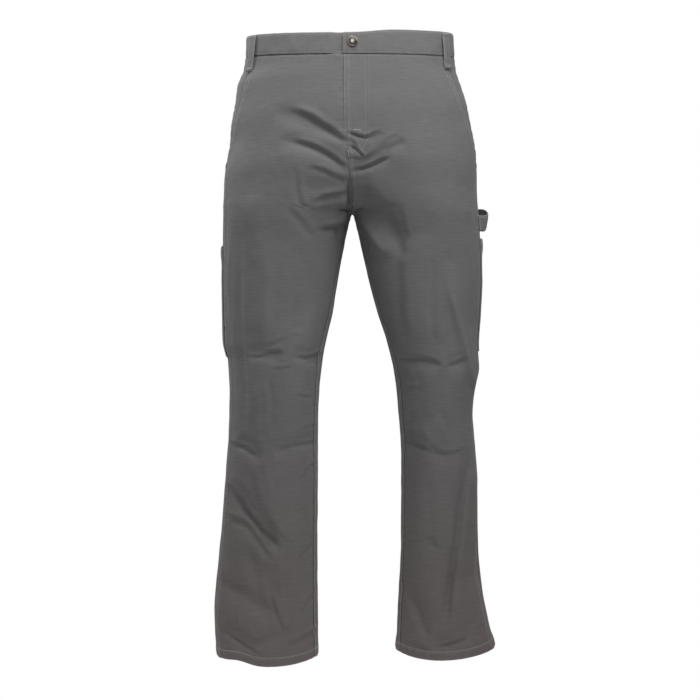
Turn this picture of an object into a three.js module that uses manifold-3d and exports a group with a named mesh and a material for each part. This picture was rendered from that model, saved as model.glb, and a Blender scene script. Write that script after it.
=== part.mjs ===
// Carpenter pants in cotton duck, filled out as if worn, with nobody inside.
// Millimetres, +Z up, the front towards -Y and the wearer's left leg towards +X.
// The origin is the centre of the waist, where the wearer holds the garment up.
import * as THREE from 'three';
import { mergeVertices } from 'three/addons/utils/BufferGeometryUtils.js';
import Module from 'manifold-3d';

const wasm = await Module();
wasm.setup();

// Cloth and seams
const CLOTH = 1.5;
const SEAM_GAP = 0.3;
const HEM_DEPTH = 16;
const HEM_STEP = 1.5;

// Levels of the two planes that cut the waist: height at the side, rise per mm towards the back
const WAIST_SEAM = { height: -10, slope: 0.125 };
const WAIST_TOP = { height: 32, slope: 0.128 };
const CROTCH = -283;

// Waistband, fly, belt loops and button
const BAND = { thickness: 3, proud: 1, startAngle: -3.4, endAngle: 368, step: 6 };
const BAND_DROP = { from: 351, to: 355.6, outside: -2.3 };
const FLY_LAP = { proud: 1.2, width: 26, bottom: -186 };
const BELT_LOOP = { width: 17, thickness: 2, length: 70, standOff: 3.1, topInset: 1, rows: 10 };
const BELT_LOOPS = [
  { name: 'belt_loop_front_left', angle: 63 },
  { name: 'belt_loop_back_left', angle: 128 },
  { name: 'belt_loop_back_centre', angle: 180 },
  { name: 'belt_loop_back_right', angle: 232 },
  { name: 'belt_loop_front_right', angle: 295 },
];
const BUTTON = { x: 4.3, z: 2, radius: 9, height: 3.8, sides: 24 };

// Slant pockets
const POCKET_MOUTH = { bottom: -195, lift: 1.1, liftWidth: 14, taper: 50, overlap: 7 };

// Yoke seam of the back: its height at the centre and at the side
const YOKE_SEAM = { centre: -92, side: -48 };

// Patch pockets and the hammer loop
const PATCH = { thickness: 1.2, gapeDepth: 70, margin: 45, reach: 90 };
const HAMMER_LOOP = {
  from: 162.5, to: 203, centre: -304, rise: 15, height: 30, thickness: 2.4, standOff: 14, flat: 0.12,
};
const HAMMER_LOOP_COLUMNS = 12;

// Widths of each leg's round: distance of its inner and outer edge from the centre plane.
// Above the crotch the round reaches past the centre plane, and the rise seam cuts it there.
const WIDTHS = {
  left: [
    { z: 60, inner: -184, outer: 184 },
    { z: 0, inner: -186, outer: 186 },
    { z: -30, inner: -189, outer: 189 },
    { z: -58, inner: -198, outer: 198 },
    { z: -90, inner: -203, outer: 208 },
    { z: -130, inner: -181, outer: 216 },
    { z: -160, inner: -156, outer: 223 },
    { z: -190, inner: -127, outer: 227 },
    { z: -223, inner: -94, outer: 229 },
    { z: -243, inner: -68, outer: 229 },
    { z: -263, inner: -38, outer: 230 },
    { z: -275, inner: -14, outer: 231 },
    { z: -283, inner: 4.5, outer: 232 },
    { z: -303, inner: 11, outer: 233 },
    { z: -346, inner: 20, outer: 235 },
    { z: -404, inner: 34, outer: 236 },
    { z: -462, inner: 50, outer: 233 },
    { z: -519, inner: 68, outer: 229 },
    { z: -562, inner: 78, outer: 231 },
    { z: -606, inner: 85, outer: 223 },
    { z: -640, inner: 87.5, outer: 220 },
    { z: -706, inner: 92, outer: 225 },
    { z: -764, inner: 92, outer: 230 },
    { z: -879, inner: 92, outer: 230 },
    { z: -966, inner: 88, outer: 238 },
    { z: -1023, inner: 85.5, outer: 250 },
    { z: -1062, inner: 82.5, outer: 262 },
  ],
  right: [
    { z: 60, inner: -184, outer: 184 },
    { z: 0, inner: -186, outer: 186 },
    { z: -30, inner: -190, outer: 190 },
    { z: -58, inner: -201, outer: 201 },
    { z: -90, inner: -204, outer: 205 },
    { z: -130, inner: -186, outer: 212 },
    { z: -160, inner: -161, outer: 214 },
    { z: -190, inner: -132, outer: 220 },
    { z: -223, inner: -101, outer: 226 },
    { z: -243, inner: -76, outer: 227 },
    { z: -263, inner: -46, outer: 228 },
    { z: -275, inner: -23, outer: 229 },
    { z: -283, inner: -4.5, outer: 229 },
    { z: -303, inner: 2, outer: 229 },
    { z: -346, inner: 11, outer: 229 },
    { z: -404, inner: 22, outer: 229 },
    { z: -462, inner: 32, outer: 228 },
    { z: -519, inner: 45, outer: 226 },
    { z: -548, inner: 50, outer: 219 },
    { z: -600, inner: 55.5, outer: 216 },
    { z: -678, inner: 58.5, outer: 218 },
    { z: -764, inner: 59, outer: 225 },
    { z: -850, inner: 59, outer: 232 },
    { z: -951, inner: 58, outer: 241 },
    { z: -1000, inner: 57, outer: 245 },
    { z: -1080, inner: 56, outer: 241 },
  ],
};

// Depths of both legs: front and back of the round, the depth where it is widest, and how square it is
const DEPTHS = [
  { z: 60, front: -108, back: 106, widest: 0, square: 2.3 },
  { z: -10, front: -110, back: 109, widest: 0, square: 2.3 },
  { z: -60, front: -115, back: 121, widest: 1, square: 2.32 },
  { z: -120, front: -120, back: 134, widest: 3, square: 2.35 },
  { z: -190, front: -120, back: 140, widest: 5, square: 2.35 },
  { z: -240, front: -115, back: 137, widest: 6, square: 2.32 },
  { z: -283, front: -110, back: 128, widest: 7, square: 2.3 },
  { z: -335, front: -101, back: 114, widest: 6, square: 2.25 },
  { z: -430, front: -93, back: 99, widest: 4, square: 2.2 },
  { z: -520, front: -88, back: 89, widest: 2, square: 2.2 },
  { z: -600, front: -85, back: 82, widest: 0, square: 2.2 },
  { z: -700, front: -78, back: 84, widest: 2, square: 2.15 },
  { z: -835, front: -70, back: 84, widest: 4, square: 2.1 },
  { z: -960, front: -62, back: 71, widest: 2, square: 2.05 },
  { z: -1090, front: -58, back: 57, widest: 0, square: 2.05 },
];

// Seams: the front and back rise (x), and the angles of outseam, inseam and pocket mouth.
// Angles run round a leg from its inner edge (0) by the front (90) and the outside (180).
const FRONT_RISE = [
  { z: 60, x: -11 },
  { z: -180, x: -9 },
  { z: -235, x: -3 },
  { z: -283, x: 4.5 },
];
const BACK_RISE = [
  { z: 60, x: 0 },
  { z: -150, x: 1 },
  { z: -283, x: 4.5 },
];
const OUTSEAM = [
  { z: 60, angle: 178 },
  { z: -60, angle: 176 },
  { z: -195, angle: 171 },
  { z: -215, angle: 167.5 },
  { z: -262, angle: 162 },
  { z: -1090, angle: 160 },
];
const INSEAM = [
  { z: -283, angle: 0 },
  { z: -330, angle: 8 },
  { z: -420, angle: 17 },
  { z: -560, angle: 21 },
  { z: -1090, angle: 20 },
];
const MOUTH = [
  { z: 60, angle: 150 },
  { z: -50, angle: 153 },
  { z: -90, angle: 156 },
  { z: -140, angle: 161 },
  { z: -195, angle: 168.5 },
];

// Hems: height at the middle of the leg, its rise per mm outwards and towards the back
const HEMS = {
  left: { height: -1062.5, outward: 0.04, backward: 0.2, middle: 172 },
  right: { height: -1080, outward: 0, backward: 0.1, middle: 149 },
};

// Largest folds: a line from (x0, z0) to (x1, z1) on the front or back, its bow to one side,
// its half width and its height, below zero for a trough
const FOLDS = [
  // Across the right hip
  { face: 'front', x0: -130, z0: -112, x1: -14, z1: -160, bow: -6, width: 15, height: -4 },
  { face: 'front', x0: -124, z0: -166, x1: -2, z1: -216, bow: 7, width: 14, height: -4 },
  { face: 'front', x0: -84, z0: -252, x1: 2, z1: -240, bow: 0, width: 14, height: -2.5 },
  // Down the inside of the right thigh
  { face: 'front', x0: -46, z0: -300, x1: -92, z1: -500, bow: 8, width: 24, height: -5 },
  { face: 'front', x0: -170, z0: -260, x1: -176, z1: -500, bow: 4, width: 20, height: 3 },
  // Across the left hip and away from the crotch
  { face: 'front', x0: 0, z0: -218, x1: 70, z1: -193, bow: -3, width: 14, height: -4 },
  { face: 'front', x0: 4, z0: -232, x1: 96, z1: -330, bow: -6, width: 17, height: -6 },
  { face: 'front', x0: 22, z0: -262, x1: 70, z1: -372, bow: -4, width: 15, height: 3.5 },
  { face: 'front', x0: 178, z0: -380, x1: 208, z1: -580, bow: 6, width: 16, height: 3 },
  { face: 'front', x0: 120, z0: -330, x1: 128, z1: -520, bow: 0, width: 26, height: 3 },
  // Right knee and shin
  { face: 'front', x0: -178, z0: -532, x1: -118, z1: -548, bow: 4, width: 13, height: -4 },
  { face: 'front', x0: -98, z0: -532, x1: -48, z1: -546, bow: -3, width: 13, height: -3.5 },
  { face: 'front', x0: -198, z0: -686, x1: -150, z1: -722, bow: 0, width: 14, height: -3.5 },
  { face: 'front', x0: -132, z0: -712, x1: -54, z1: -688, bow: 4, width: 14, height: -3.5 },
  { face: 'front', x0: -214, z0: -764, x1: -112, z1: -884, bow: 5, width: 15, height: -5 },
  { face: 'front', x0: -208, z0: -826, x1: -138, z1: -894, bow: 3, width: 14, height: -3.5 },
  { face: 'front', x0: -186, z0: -886, x1: -108, z1: -1010, bow: 12, width: 20, height: -4 },
  { face: 'front', x0: -222, z0: -1018, x1: -164, z1: -1054, bow: -5, width: 14, height: -4 },
  { face: 'front', x0: -168, z0: -1040, x1: -58, z1: -1014, bow: -8, width: 14, height: -3.5 },
  // Left knee and shin
  { face: 'front', x0: 84, z0: -540, x1: 160, z1: -556, bow: -3, width: 13, height: -4 },
  { face: 'front', x0: 168, z0: -558, x1: 206, z1: -548, bow: 0, width: 13, height: -3 },
  { face: 'front', x0: 92, z0: -688, x1: 130, z1: -704, bow: 0, width: 14, height: -3.5 },
  { face: 'front', x0: 134, z0: -702, x1: 178, z1: -720, bow: 0, width: 14, height: -3 },
  { face: 'front', x0: 214, z0: -700, x1: 163, z1: -1024, bow: -6, width: 14, height: -5 },
  { face: 'front', x0: 228, z0: -740, x1: 186, z1: -1010, bow: -6, width: 15, height: 3 },
  { face: 'front', x0: 88, z0: -940, x1: 146, z1: -1022, bow: 5, width: 15, height: -3.5 },
  { face: 'front', x0: 140, z0: -1044, x1: 226, z1: -1012, bow: -10, width: 14, height: -4 },
  // Seat, backs of the knees and calves
  { face: 'back', x0: 8, z0: -258, x1: 120, z1: -322, bow: -8, width: 18, height: -6 },
  { face: 'back', x0: 2, z0: -258, x1: -112, z1: -330, bow: 8, width: 18, height: -6 },
  { face: 'back', x0: 14, z0: -296, x1: 92, z1: -388, bow: -6, width: 18, height: -4 },
  { face: 'back', x0: -6, z0: -300, x1: -86, z1: -396, bow: 6, width: 18, height: -4 },
  { face: 'back', x0: 92, z0: -574, x1: 206, z1: -596, bow: -8, width: 16, height: -6 },
  { face: 'back', x0: 96, z0: -630, x1: 204, z1: -612, bow: 8, width: 16, height: -5 },
  { face: 'back', x0: -204, z0: -590, x1: -64, z1: -570, bow: 8, width: 16, height: -6 },
  { face: 'back', x0: -200, z0: -610, x1: -70, z1: -634, bow: -6, width: 16, height: -5 },
  { face: 'back', x0: 100, z0: -760, x1: 196, z1: -850, bow: 8, width: 18, height: -4 },
  { face: 'back', x0: -70, z0: -770, x1: -180, z1: -866, bow: -8, width: 18, height: -4 },
  { face: 'back', x0: 96, z0: -1018, x1: 232, z1: -996, bow: -10, width: 16, height: -4 },
  { face: 'back', x0: -66, z0: -1032, x1: -222, z1: -1012, bow: 10, width: 16, height: -4 },
];

// Row heights of the panels; the last ones are measured up from the hem
const FRONT_TORSO_ROWS = [-12, -45, -80, -115, -150, -175, -195, -215, -232, -248, -262, -273, -283];
const BACK_TORSO_ROWS = [-70, -92, -115, -150, -175, -195, -215, -232, -248, -262, -273, -283];
const LEG_ROWS = [
  -291, -304, -320, -336, -360, -390, -420, -450, -478, -504, -530, -550, -572, -600,
  -630, -660, -690, -720, -750, -780, -810, -840, -870, -900, -930, -960, -990, -1018,
];
const HEM_ROWS = [HEM_DEPTH + HEM_STEP, HEM_DEPTH, 0];
const SHIFT_FADE = 90;
const BUNCH = { amount: 0.5, angle: 34, height: 150 };
const FRONT_COLUMNS = 12;
const BACK_COLUMNS = 12;

const SIGN = { left: 1, right: -1 };
const DEGREE = Math.PI / 180;

// Materials
const duck = (name, color) => {
  const material = new THREE.MeshStandardMaterial({ color, roughness: 0.9, metalness: 0 });
  material.name = name;
  return material;
};
const CANVAS = () => duck('duck_canvas', 0x6b6a69);
const TRIM = () => duck('duck_trim', 0x737170);
const METAL = () => {
  const material = new THREE.MeshStandardMaterial({ color: 0x55504c, roughness: 0.42, metalness: 0.9 });
  material.name = 'antique_metal';
  return material;
};

// A smooth curve through a table's rows that never overshoots them (rows run from the top down)
function curve(rows, key) {
  const last = rows.length - 1;
  const slope = rows.slice(1).map((row, i) => (row[key] - rows[i][key]) / (row.z - rows[i].z));
  const tangent = rows.map((row, i) => {
    if (i === 0) return slope[0];
    if (i === last) return slope[last - 1];
    const before = slope[i - 1];
    const after = slope[i];
    return before * after <= 0 ? 0 : (2 * before * after) / (before + after);
  });
  return (z) => {
    if (z >= rows[0].z) return rows[0][key];
    if (z <= rows[last].z) return rows[last][key];
    let i = 0;
    while (z < rows[i + 1].z) i += 1;
    const span = rows[i + 1].z - rows[i].z;
    const t = (z - rows[i].z) / span;
    const rise = rows[i + 1][key] - rows[i][key];
    const bend = t * (1 - t);
    const ease = t * t * (3 - 2 * t);
    return rows[i][key] + rise * ease + span * bend * (tangent[i] * (1 - t) - tangent[i + 1] * t);
  };
}

const WIDTH_CURVES = {
  left: { inner: curve(WIDTHS.left, 'inner'), outer: curve(WIDTHS.left, 'outer') },
  right: { inner: curve(WIDTHS.right, 'inner'), outer: curve(WIDTHS.right, 'outer') },
};
const DEPTH_CURVES = {
  front: curve(DEPTHS, 'front'),
  back: curve(DEPTHS, 'back'),
  widest: curve(DEPTHS, 'widest'),
  square: curve(DEPTHS, 'square'),
};
const frontRise = curve(FRONT_RISE, 'x');
const backRise = curve(BACK_RISE, 'x');
const outseam = curve(OUTSEAM, 'angle');
const inseam = curve(INSEAM, 'angle');
const mouth = curve(MOUTH, 'angle');

const clamp = (value, low, high) => Math.min(high, Math.max(low, value));
const smooth = (value) => {
  const t = clamp(value, 0, 1);
  return t * t * (3 - 2 * t);
};
const signedPower = (value, power) => Math.sign(value) * Math.abs(value) ** power;

// The outer face of the cloth at an angle round one leg and a height
function round(side, angle, z) {
  const inner = WIDTH_CURVES[side].inner(z);
  const outer = WIDTH_CURVES[side].outer(z);
  const power = 2 / DEPTH_CURVES.square(z);
  const widest = DEPTH_CURVES.widest(z);
  const sine = Math.sin(angle * DEGREE);
  const reach = sine > 0 ? DEPTH_CURVES.front(z) - widest : DEPTH_CURVES.back(z) - widest;
  const out = (inner + outer) / 2 - ((outer - inner) / 2) * signedPower(Math.cos(angle * DEGREE), power);
  return new THREE.Vector3(SIGN[side] * out, widest + reach * Math.abs(sine) ** power, z);
}

// The direction that the cloth faces there
function facing(side, angle, z) {
  const turn = 1.5;
  const climb = 3;
  const round1 = round(side, angle + turn, z).sub(round(side, angle - turn, z));
  const up = round(side, angle, z + climb).sub(round(side, angle, z - climb));
  return round1.cross(up).multiplyScalar(SIGN[side]).normalize();
}

// How far a fold lifts the cloth at a point, along the way that it faces
function foldHeight(fold, point, normal) {
  const towards = fold.face === 'front' ? -normal.y : normal.y;
  const along = new THREE.Vector2(fold.x1 - fold.x0, fold.z1 - fold.z0);
  const length = along.length();
  along.divideScalar(length);
  const from = new THREE.Vector2(point.x - fold.x0, point.z - fold.z0);
  const t = clamp(from.dot(along) / length, 0, 1);
  const past = from.dot(along) - t * length;
  const aside = from.x * -along.y + from.y * along.x - fold.bow * 4 * t * (1 - t);
  const distance = Math.hypot(aside, past) / fold.width;
  const taper = 1 - (2 * t - 1) ** 4;
  return fold.height * Math.exp(-distance * distance) * taper * smooth((towards - 0.1) / 0.4);
}

// A point of the cloth with its folds, moved out by a distance
function cloth(side, angle, z, distance = 0) {
  const point = round(side, angle, z);
  const normal = facing(side, angle, z);
  const folds = FOLDS.reduce((sum, fold) => sum + foldHeight(fold, point, normal), 0);
  return point.addScaledVector(normal, folds + distance);
}

// Where the rise seam cuts the round: the angle from the inner edge, zero below the crotch
function riseAngle(side, z, seamX) {
  const inner = WIDTH_CURVES[side].inner(z);
  const outer = WIDTH_CURVES[side].outer(z);
  const out = SIGN[side] * seamX + SEAM_GAP / 2;
  const share = clamp(((inner + outer) / 2 - out) / ((outer - inner) / 2), -1, 1);
  return Math.acos(signedPower(share, DEPTH_CURVES.square(z) / 2)) / DEGREE;
}

// An angle that leaves half the seam gap, measured along the cloth
function besideSeam(side, angle, z, direction) {
  const probe = 0.5;
  const pace = round(side, angle, z).distanceTo(round(side, angle + direction * probe, z)) / probe;
  return angle + (direction * SEAM_GAP) / 2 / pace;
}

const planeHeight = (plane, point) => plane.height + plane.slope * point.y;

function hemHeight(side, point) {
  const hem = HEMS[side];
  return hem.height + hem.outward * (SIGN[side] * point.x - hem.middle) + hem.backward * point.y;
}

function yokeHeight(point) {
  const share = Math.abs(point.x) / WIDTHS.left[1].outer;
  return YOKE_SEAM.centre + (YOKE_SEAM.side - YOKE_SEAM.centre) * share;
}

// Turns a list of quads and triangles, given as points, into a closed solid facing outwards
function solid(triangles) {
  const positions = new Float32Array(triangles.flat().flatMap((point) => [point.x, point.y, point.z]));
  const geometry = new THREE.BufferGeometry();
  geometry.setAttribute('position', new THREE.BufferAttribute(positions, 3));
  const volume = triangles.reduce((sum, [a, b, c]) => sum + a.dot(new THREE.Vector3().crossVectors(b, c)), 0);
  if (volume < 0) {
    for (let i = 0; i < positions.length; i += 9) {
      const second = positions.slice(i + 3, i + 6);
      positions.copyWithin(i + 3, i + 6, i + 9);
      positions.set(second, i + 6);
    }
  }
  return geometry;
}

const quad = (a, b, c, d) => [[a, b, c], [a, c, d]];

// A wall between two grids of points, closed round its four edges
function wall(outer, inner) {
  const triangles = [];
  const rows = outer.length - 1;
  const columns = outer[0].length - 1;
  for (let i = 0; i < rows; i += 1) {
    for (let j = 0; j < columns; j += 1) {
      triangles.push(...quad(outer[i][j], outer[i + 1][j], outer[i + 1][j + 1], outer[i][j + 1]));
      triangles.push(...quad(inner[i][j], inner[i][j + 1], inner[i + 1][j + 1], inner[i + 1][j]));
    }
    const next = i + 1;
    triangles.push(...quad(outer[i][0], inner[i][0], inner[next][0], outer[next][0]));
    triangles.push(...quad(outer[i][columns], outer[next][columns], inner[next][columns], inner[i][columns]));
  }
  for (let j = 0; j < columns; j += 1) {
    triangles.push(...quad(outer[0][j], outer[0][j + 1], inner[0][j + 1], inner[0][j]));
    triangles.push(...quad(outer[rows][j], inner[rows][j], inner[rows][j + 1], outer[rows][j + 1]));
  }
  return solid(triangles);
}

const range = (count) => Array.from({ length: count }, (unused, i) => i);

// Keeps a point on its own side of the rise seam
function keepToSide(side, point, seamX) {
  if (point.z < CROTCH || seamX === null) return point;
  const limit = SIGN[side] * seamX + SEAM_GAP / 2;
  point.x = SIGN[side] * Math.max(SIGN[side] * point.x, limit);
  return point;
}

// How closely the columns bunch beside the rise seam just above the crotch, so that the others
// run on straight down the leg
function bunching(riseEdge, z) {
  const nearCrotch = z < CROTCH ? 0 : smooth(1 - (z - CROTCH) / BUNCH.height);
  return 1 + BUNCH.amount * clamp(riseEdge / BUNCH.angle, 0, 1) * nearCrotch;
}

// Angles from one seam to the other, in even columns but for a first or last one of a set width
function columnAngle(shape, j, z) {
  const { columns, firstWidth, lastWidth } = shape;
  const first = shape.firstSeam(z);
  const last = shape.lastSeam(z);
  if (firstWidth && j === 0) return first;
  if (lastWidth && j === columns) return last;
  const from = firstWidth ? first + firstWidth : first;
  const to = lastWidth ? last - lastWidth : last;
  const skipped = firstWidth ? 1 : 0;
  const even = columns - skipped - (lastWidth ? 1 : 0);
  const share = (j - skipped) / even;
  if (shape.riseAt === 'first') return from + (to - from) * share ** bunching(first, z);
  if (shape.riseAt === 'last') return to - (to - from) * (1 - share) ** bunching(360 - last, z);
  return from + (to - from) * share;
}

// The grid of one panel. Rows are heights at rest; the top edge follows topEdge and the hem its own
// slope. Columns run between two seams, which are functions of the height.
function panelGrid(shape) {
  const { side, rows, columns, topEdge, bottomEdge, rise, lift, depth } = shape;
  const top = rows[0];
  const bottom = rows[rows.length - 1];
  return rows.map((rest) => range(columns + 1).map((j) => {
    const guide = round(side, columnAngle(shape, j, rest), rest);
    const down = topEdge ? (topEdge(guide) - top) * clamp(1 - (top - rest) / SHIFT_FADE, 0, 1) : 0;
    const up = bottomEdge ? (bottomEdge(guide) - bottom) * clamp(1 - (rest - bottom) / SHIFT_FADE, 0, 1) : 0;
    const z = rest + down + up;
    const angle = columnAngle(shape, j, z);
    const out = (lift ? lift(angle, z) : 0) - depth(rest);
    return keepToSide(side, cloth(side, angle, z, out), rise ? rise(z) : null);
  }));
}

function panel(options) {
  const thickness = options.thickness ?? (() => CLOTH);
  return wall(panelGrid({ ...options, depth: () => 0 }), panelGrid({ ...options, depth: thickness }));
}

const legRows = (side, torsoRows) => {
  const hem = HEMS[side].height;
  const legs = LEG_ROWS.filter((z) => z > hem + HEM_DEPTH + 2 * HEM_STEP);
  return [...torsoRows, ...legs, ...HEM_ROWS.map((height) => hem + height)];
};

// The hem is turned up inside, so the cloth is doubled there
const hemThickness = (side) => (rest) => (rest <= HEMS[side].height + HEM_DEPTH ? 2 * CLOTH : CLOTH);

// The seams of the panels, as angles at a height
const frontInner = (side) => (z) => (z > CROTCH
  ? riseAngle(side, z, frontRise(z))
  : besideSeam(side, inseam(z), z, 1));
const backInner = (side) => (z) => (z > CROTCH
  ? 360 - riseAngle(side, z, backRise(z))
  : 360 + besideSeam(side, inseam(z), z, -1));
const frontOutseam = (side) => (z) => besideSeam(side, outseam(z), z, -1);
const frontOuter = (side) => (z) => (z >= POCKET_MOUTH.bottom ? mouth(z) : frontOutseam(side)(z));
const backOuter = (side) => (z) => besideSeam(side, outseam(z), z, 1);

// The pocket mouth stands off a little, and the left front laps proud over the fly
function frontLift(side) {
  return (angle, z) => {
    const nearMouth = smooth((angle - (mouth(z) - POCKET_MOUTH.liftWidth)) / POCKET_MOUTH.liftWidth);
    const aboveBottom = smooth((z - POCKET_MOUTH.bottom) / POCKET_MOUTH.taper);
    const belowBand = smooth((WAIST_SEAM.height - z) / POCKET_MOUTH.taper);
    const fromEdge = Math.abs(round(side, angle, z).x - frontRise(z));
    const onLap = side === 'left' && angle < 120 ? clamp(1 - fromEdge / FLY_LAP.width, 0, 1) : 0;
    const aboveFly = smooth((z - FLY_LAP.bottom) / FLY_LAP.width + 1);
    return POCKET_MOUTH.lift * nearMouth * aboveBottom * belowBand + FLY_LAP.proud * onLap * aboveFly;
  };
}

const waistEdge = (point) => planeHeight(WAIST_SEAM, point) - SEAM_GAP;

const frontPanel = (side) => panel({
  side,
  rows: legRows(side, FRONT_TORSO_ROWS),
  columns: FRONT_COLUMNS,
  firstSeam: frontInner(side),
  lastSeam: frontOuter(side),
  lastWidth: POCKET_MOUTH.overlap,
  topEdge: waistEdge,
  bottomEdge: (point) => hemHeight(side, point),
  riseAt: 'first',
  rise: frontRise,
  lift: frontLift(side),
  thickness: hemThickness(side),
});

const backPanelShape = (side) => ({
  side,
  rows: legRows(side, BACK_TORSO_ROWS),
  columns: BACK_COLUMNS,
  firstSeam: backOuter(side),
  lastSeam: backInner(side),
  topEdge: (point) => yokeHeight(point) - SEAM_GAP,
  bottomEdge: (point) => hemHeight(side, point),
  riseAt: 'last',
  rise: backRise,
  thickness: hemThickness(side),
});

// The yoke's columns carry on the back panel's, from its top edge up to the waist seam
function yoke(side) {
  const shape = backPanelShape(side);
  const rest = shape.rows[0];
  const steps = 3;
  const grid = (depth) => range(steps + 1).map((i) => range(shape.columns + 1).map((j) => {
    const guide = round(side, columnAngle(shape, j, rest), rest);
    const high = waistEdge(round(side, columnAngle(shape, j, WAIST_SEAM.height), WAIST_SEAM.height));
    const z = high + ((yokeHeight(guide) - high) * i) / steps;
    return keepToSide(side, cloth(side, columnAngle(shape, j, z), z, -depth), backRise(z));
  }));
  return wall(grid(0), grid(CLOTH));
}

// The hip facing shows behind the pocket mouth: under the front at the mouth, level at the outseam
function hipFacing(side) {
  const under = CLOTH + SEAM_GAP;
  const climbWidth = 9;
  return panel({
    side,
    rows: [-12, -45, -80, -115, -150, -175, POCKET_MOUTH.bottom],
    columns: 5,
    firstSeam: (z) => mouth(z) - POCKET_MOUTH.overlap,
    firstWidth: POCKET_MOUTH.overlap,
    lastSeam: frontOutseam(side),
    topEdge: waistEdge,
    lift: (angle, z) => under * smooth((angle - mouth(z) - 2) / climbWidth) - under,
  });
}

// The waist's outer face by the angle round the body: 0 front, 90 the wearer's left, 180 back
function atWaist(angle, z, distance) {
  const turned = ((angle % 360) + 360) % 360;
  return turned <= 180 ? cloth('left', 90 + turned, z, distance) : cloth('right', 450 - turned, z, distance);
}

// One strip all round; its left end laps over the right end, which drops behind it
function waistband() {
  const count = Math.round((BAND.endAngle - BAND.startAngle) / BAND.step);
  const even = range(count + 1).map((i) => BAND.startAngle + ((BAND.endAngle - BAND.startAngle) * i) / count);
  const angles = even.filter((angle) => angle < BAND_DROP.from - 2 || angle > BAND_DROP.to + 2);
  angles.push(BAND_DROP.from, (BAND_DROP.from + BAND_DROP.to) / 2, BAND_DROP.to);
  angles.sort((a, b) => a - b);
  const steps = 2;
  const grid = (depth) => range(steps + 1).map((i) => angles.map((angle) => {
    const guide = atWaist(angle, 0, 0);
    const drop = smooth((angle - BAND_DROP.from) / (BAND_DROP.to - BAND_DROP.from));
    const out = BAND.proud + (BAND_DROP.outside - BAND.proud) * drop - depth;
    const low = planeHeight(WAIST_SEAM, guide);
    const z = low + ((planeHeight(WAIST_TOP, guide) - low) * i) / steps;
    return atWaist(angle, z, out);
  }));
  return wall(grid(0), grid(BAND.thickness));
}

// A strap from the top of the waistband to a tack below it, standing off between
function beltLoop(angle) {
  const columns = 2;
  const perDegree = atWaist(angle + 0.5, 0, 0).distanceTo(atWaist(angle - 0.5, 0, 0));
  const grid = (thickness) => range(BELT_LOOP.rows + 1).map((i) => range(columns + 1).map((j) => {
    const share = i / BELT_LOOP.rows;
    const across = angle + ((j / columns - 0.5) * BELT_LOOP.width) / perDegree;
    const guide = atWaist(across, 0, 0);
    const top = planeHeight(WAIST_TOP, guide) - BELT_LOOP.topInset;
    const z = top - BELT_LOOP.length * share;
    const clear = SEAM_GAP + BELT_LOOP.standOff * Math.sin(Math.PI * share) ** 0.8;
    return atWaist(across, z, BAND.proud + clear + thickness);
  }));
  return wall(grid(BELT_LOOP.thickness), grid(0));
}

// A domed shank button with a rolled rim, turned to face the front
function button() {
  const { radius, height } = BUTTON;
  const profile = [
    [0, 0],
    [0.7 * radius, 0],
    [0.93 * radius, 0.2 * height],
    [radius, 0.48 * height],
    [0.95 * radius, 0.76 * height],
    [0.84 * radius, 0.84 * height],
    [0.77 * radius, 0.72 * height],
    [0.55 * radius, 0.88 * height],
    [0.28 * radius, 0.97 * height],
    [0, height],
  ];
  const points = profile.map(([r, h]) => new THREE.Vector2(r, h));
  return new THREE.LatheGeometry(points, BUTTON.sides);
}

// A straight cutter through an outline of points, along a horizontal axis
function cutter(outline, axis, reach) {
  const up = new THREE.Vector3(0, 0, 1);
  const across = new THREE.Vector3().crossVectors(up, axis);
  const shape = new THREE.Shape(outline.map((corner) => new THREE.Vector2(corner.dot(across), corner.z)));
  const middle = outline.reduce((sum, corner) => sum + corner.dot(axis), 0) / outline.length;
  const geometry = new THREE.ExtrudeGeometry(shape, { depth: 2 * reach, bevelEnabled: false });
  geometry.translate(0, 0, middle - reach);
  geometry.applyMatrix4(new THREE.Matrix4().makeBasis(across, up, axis));
  return geometry;
}

function toManifold(geometry) {
  const bare = geometry.clone();
  bare.deleteAttribute('normal');
  bare.deleteAttribute('uv');
  const merged = mergeVertices(bare, 1e-4);
  const { Manifold, Mesh } = wasm;
  return new Manifold(new Mesh({
    numProp: 3,
    vertProperties: new Float32Array(merged.attributes.position.array),
    triVerts: new Uint32Array(merged.index.array),
  }));
}

function fromManifold(body) {
  const mesh = body.getMesh();
  const geometry = new THREE.BufferGeometry();
  geometry.setAttribute('position', new THREE.BufferAttribute(new Float32Array(mesh.vertProperties), 3));
  geometry.setIndex(new THREE.BufferAttribute(new Uint32Array(mesh.triVerts), 1));
  return geometry;
}

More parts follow.
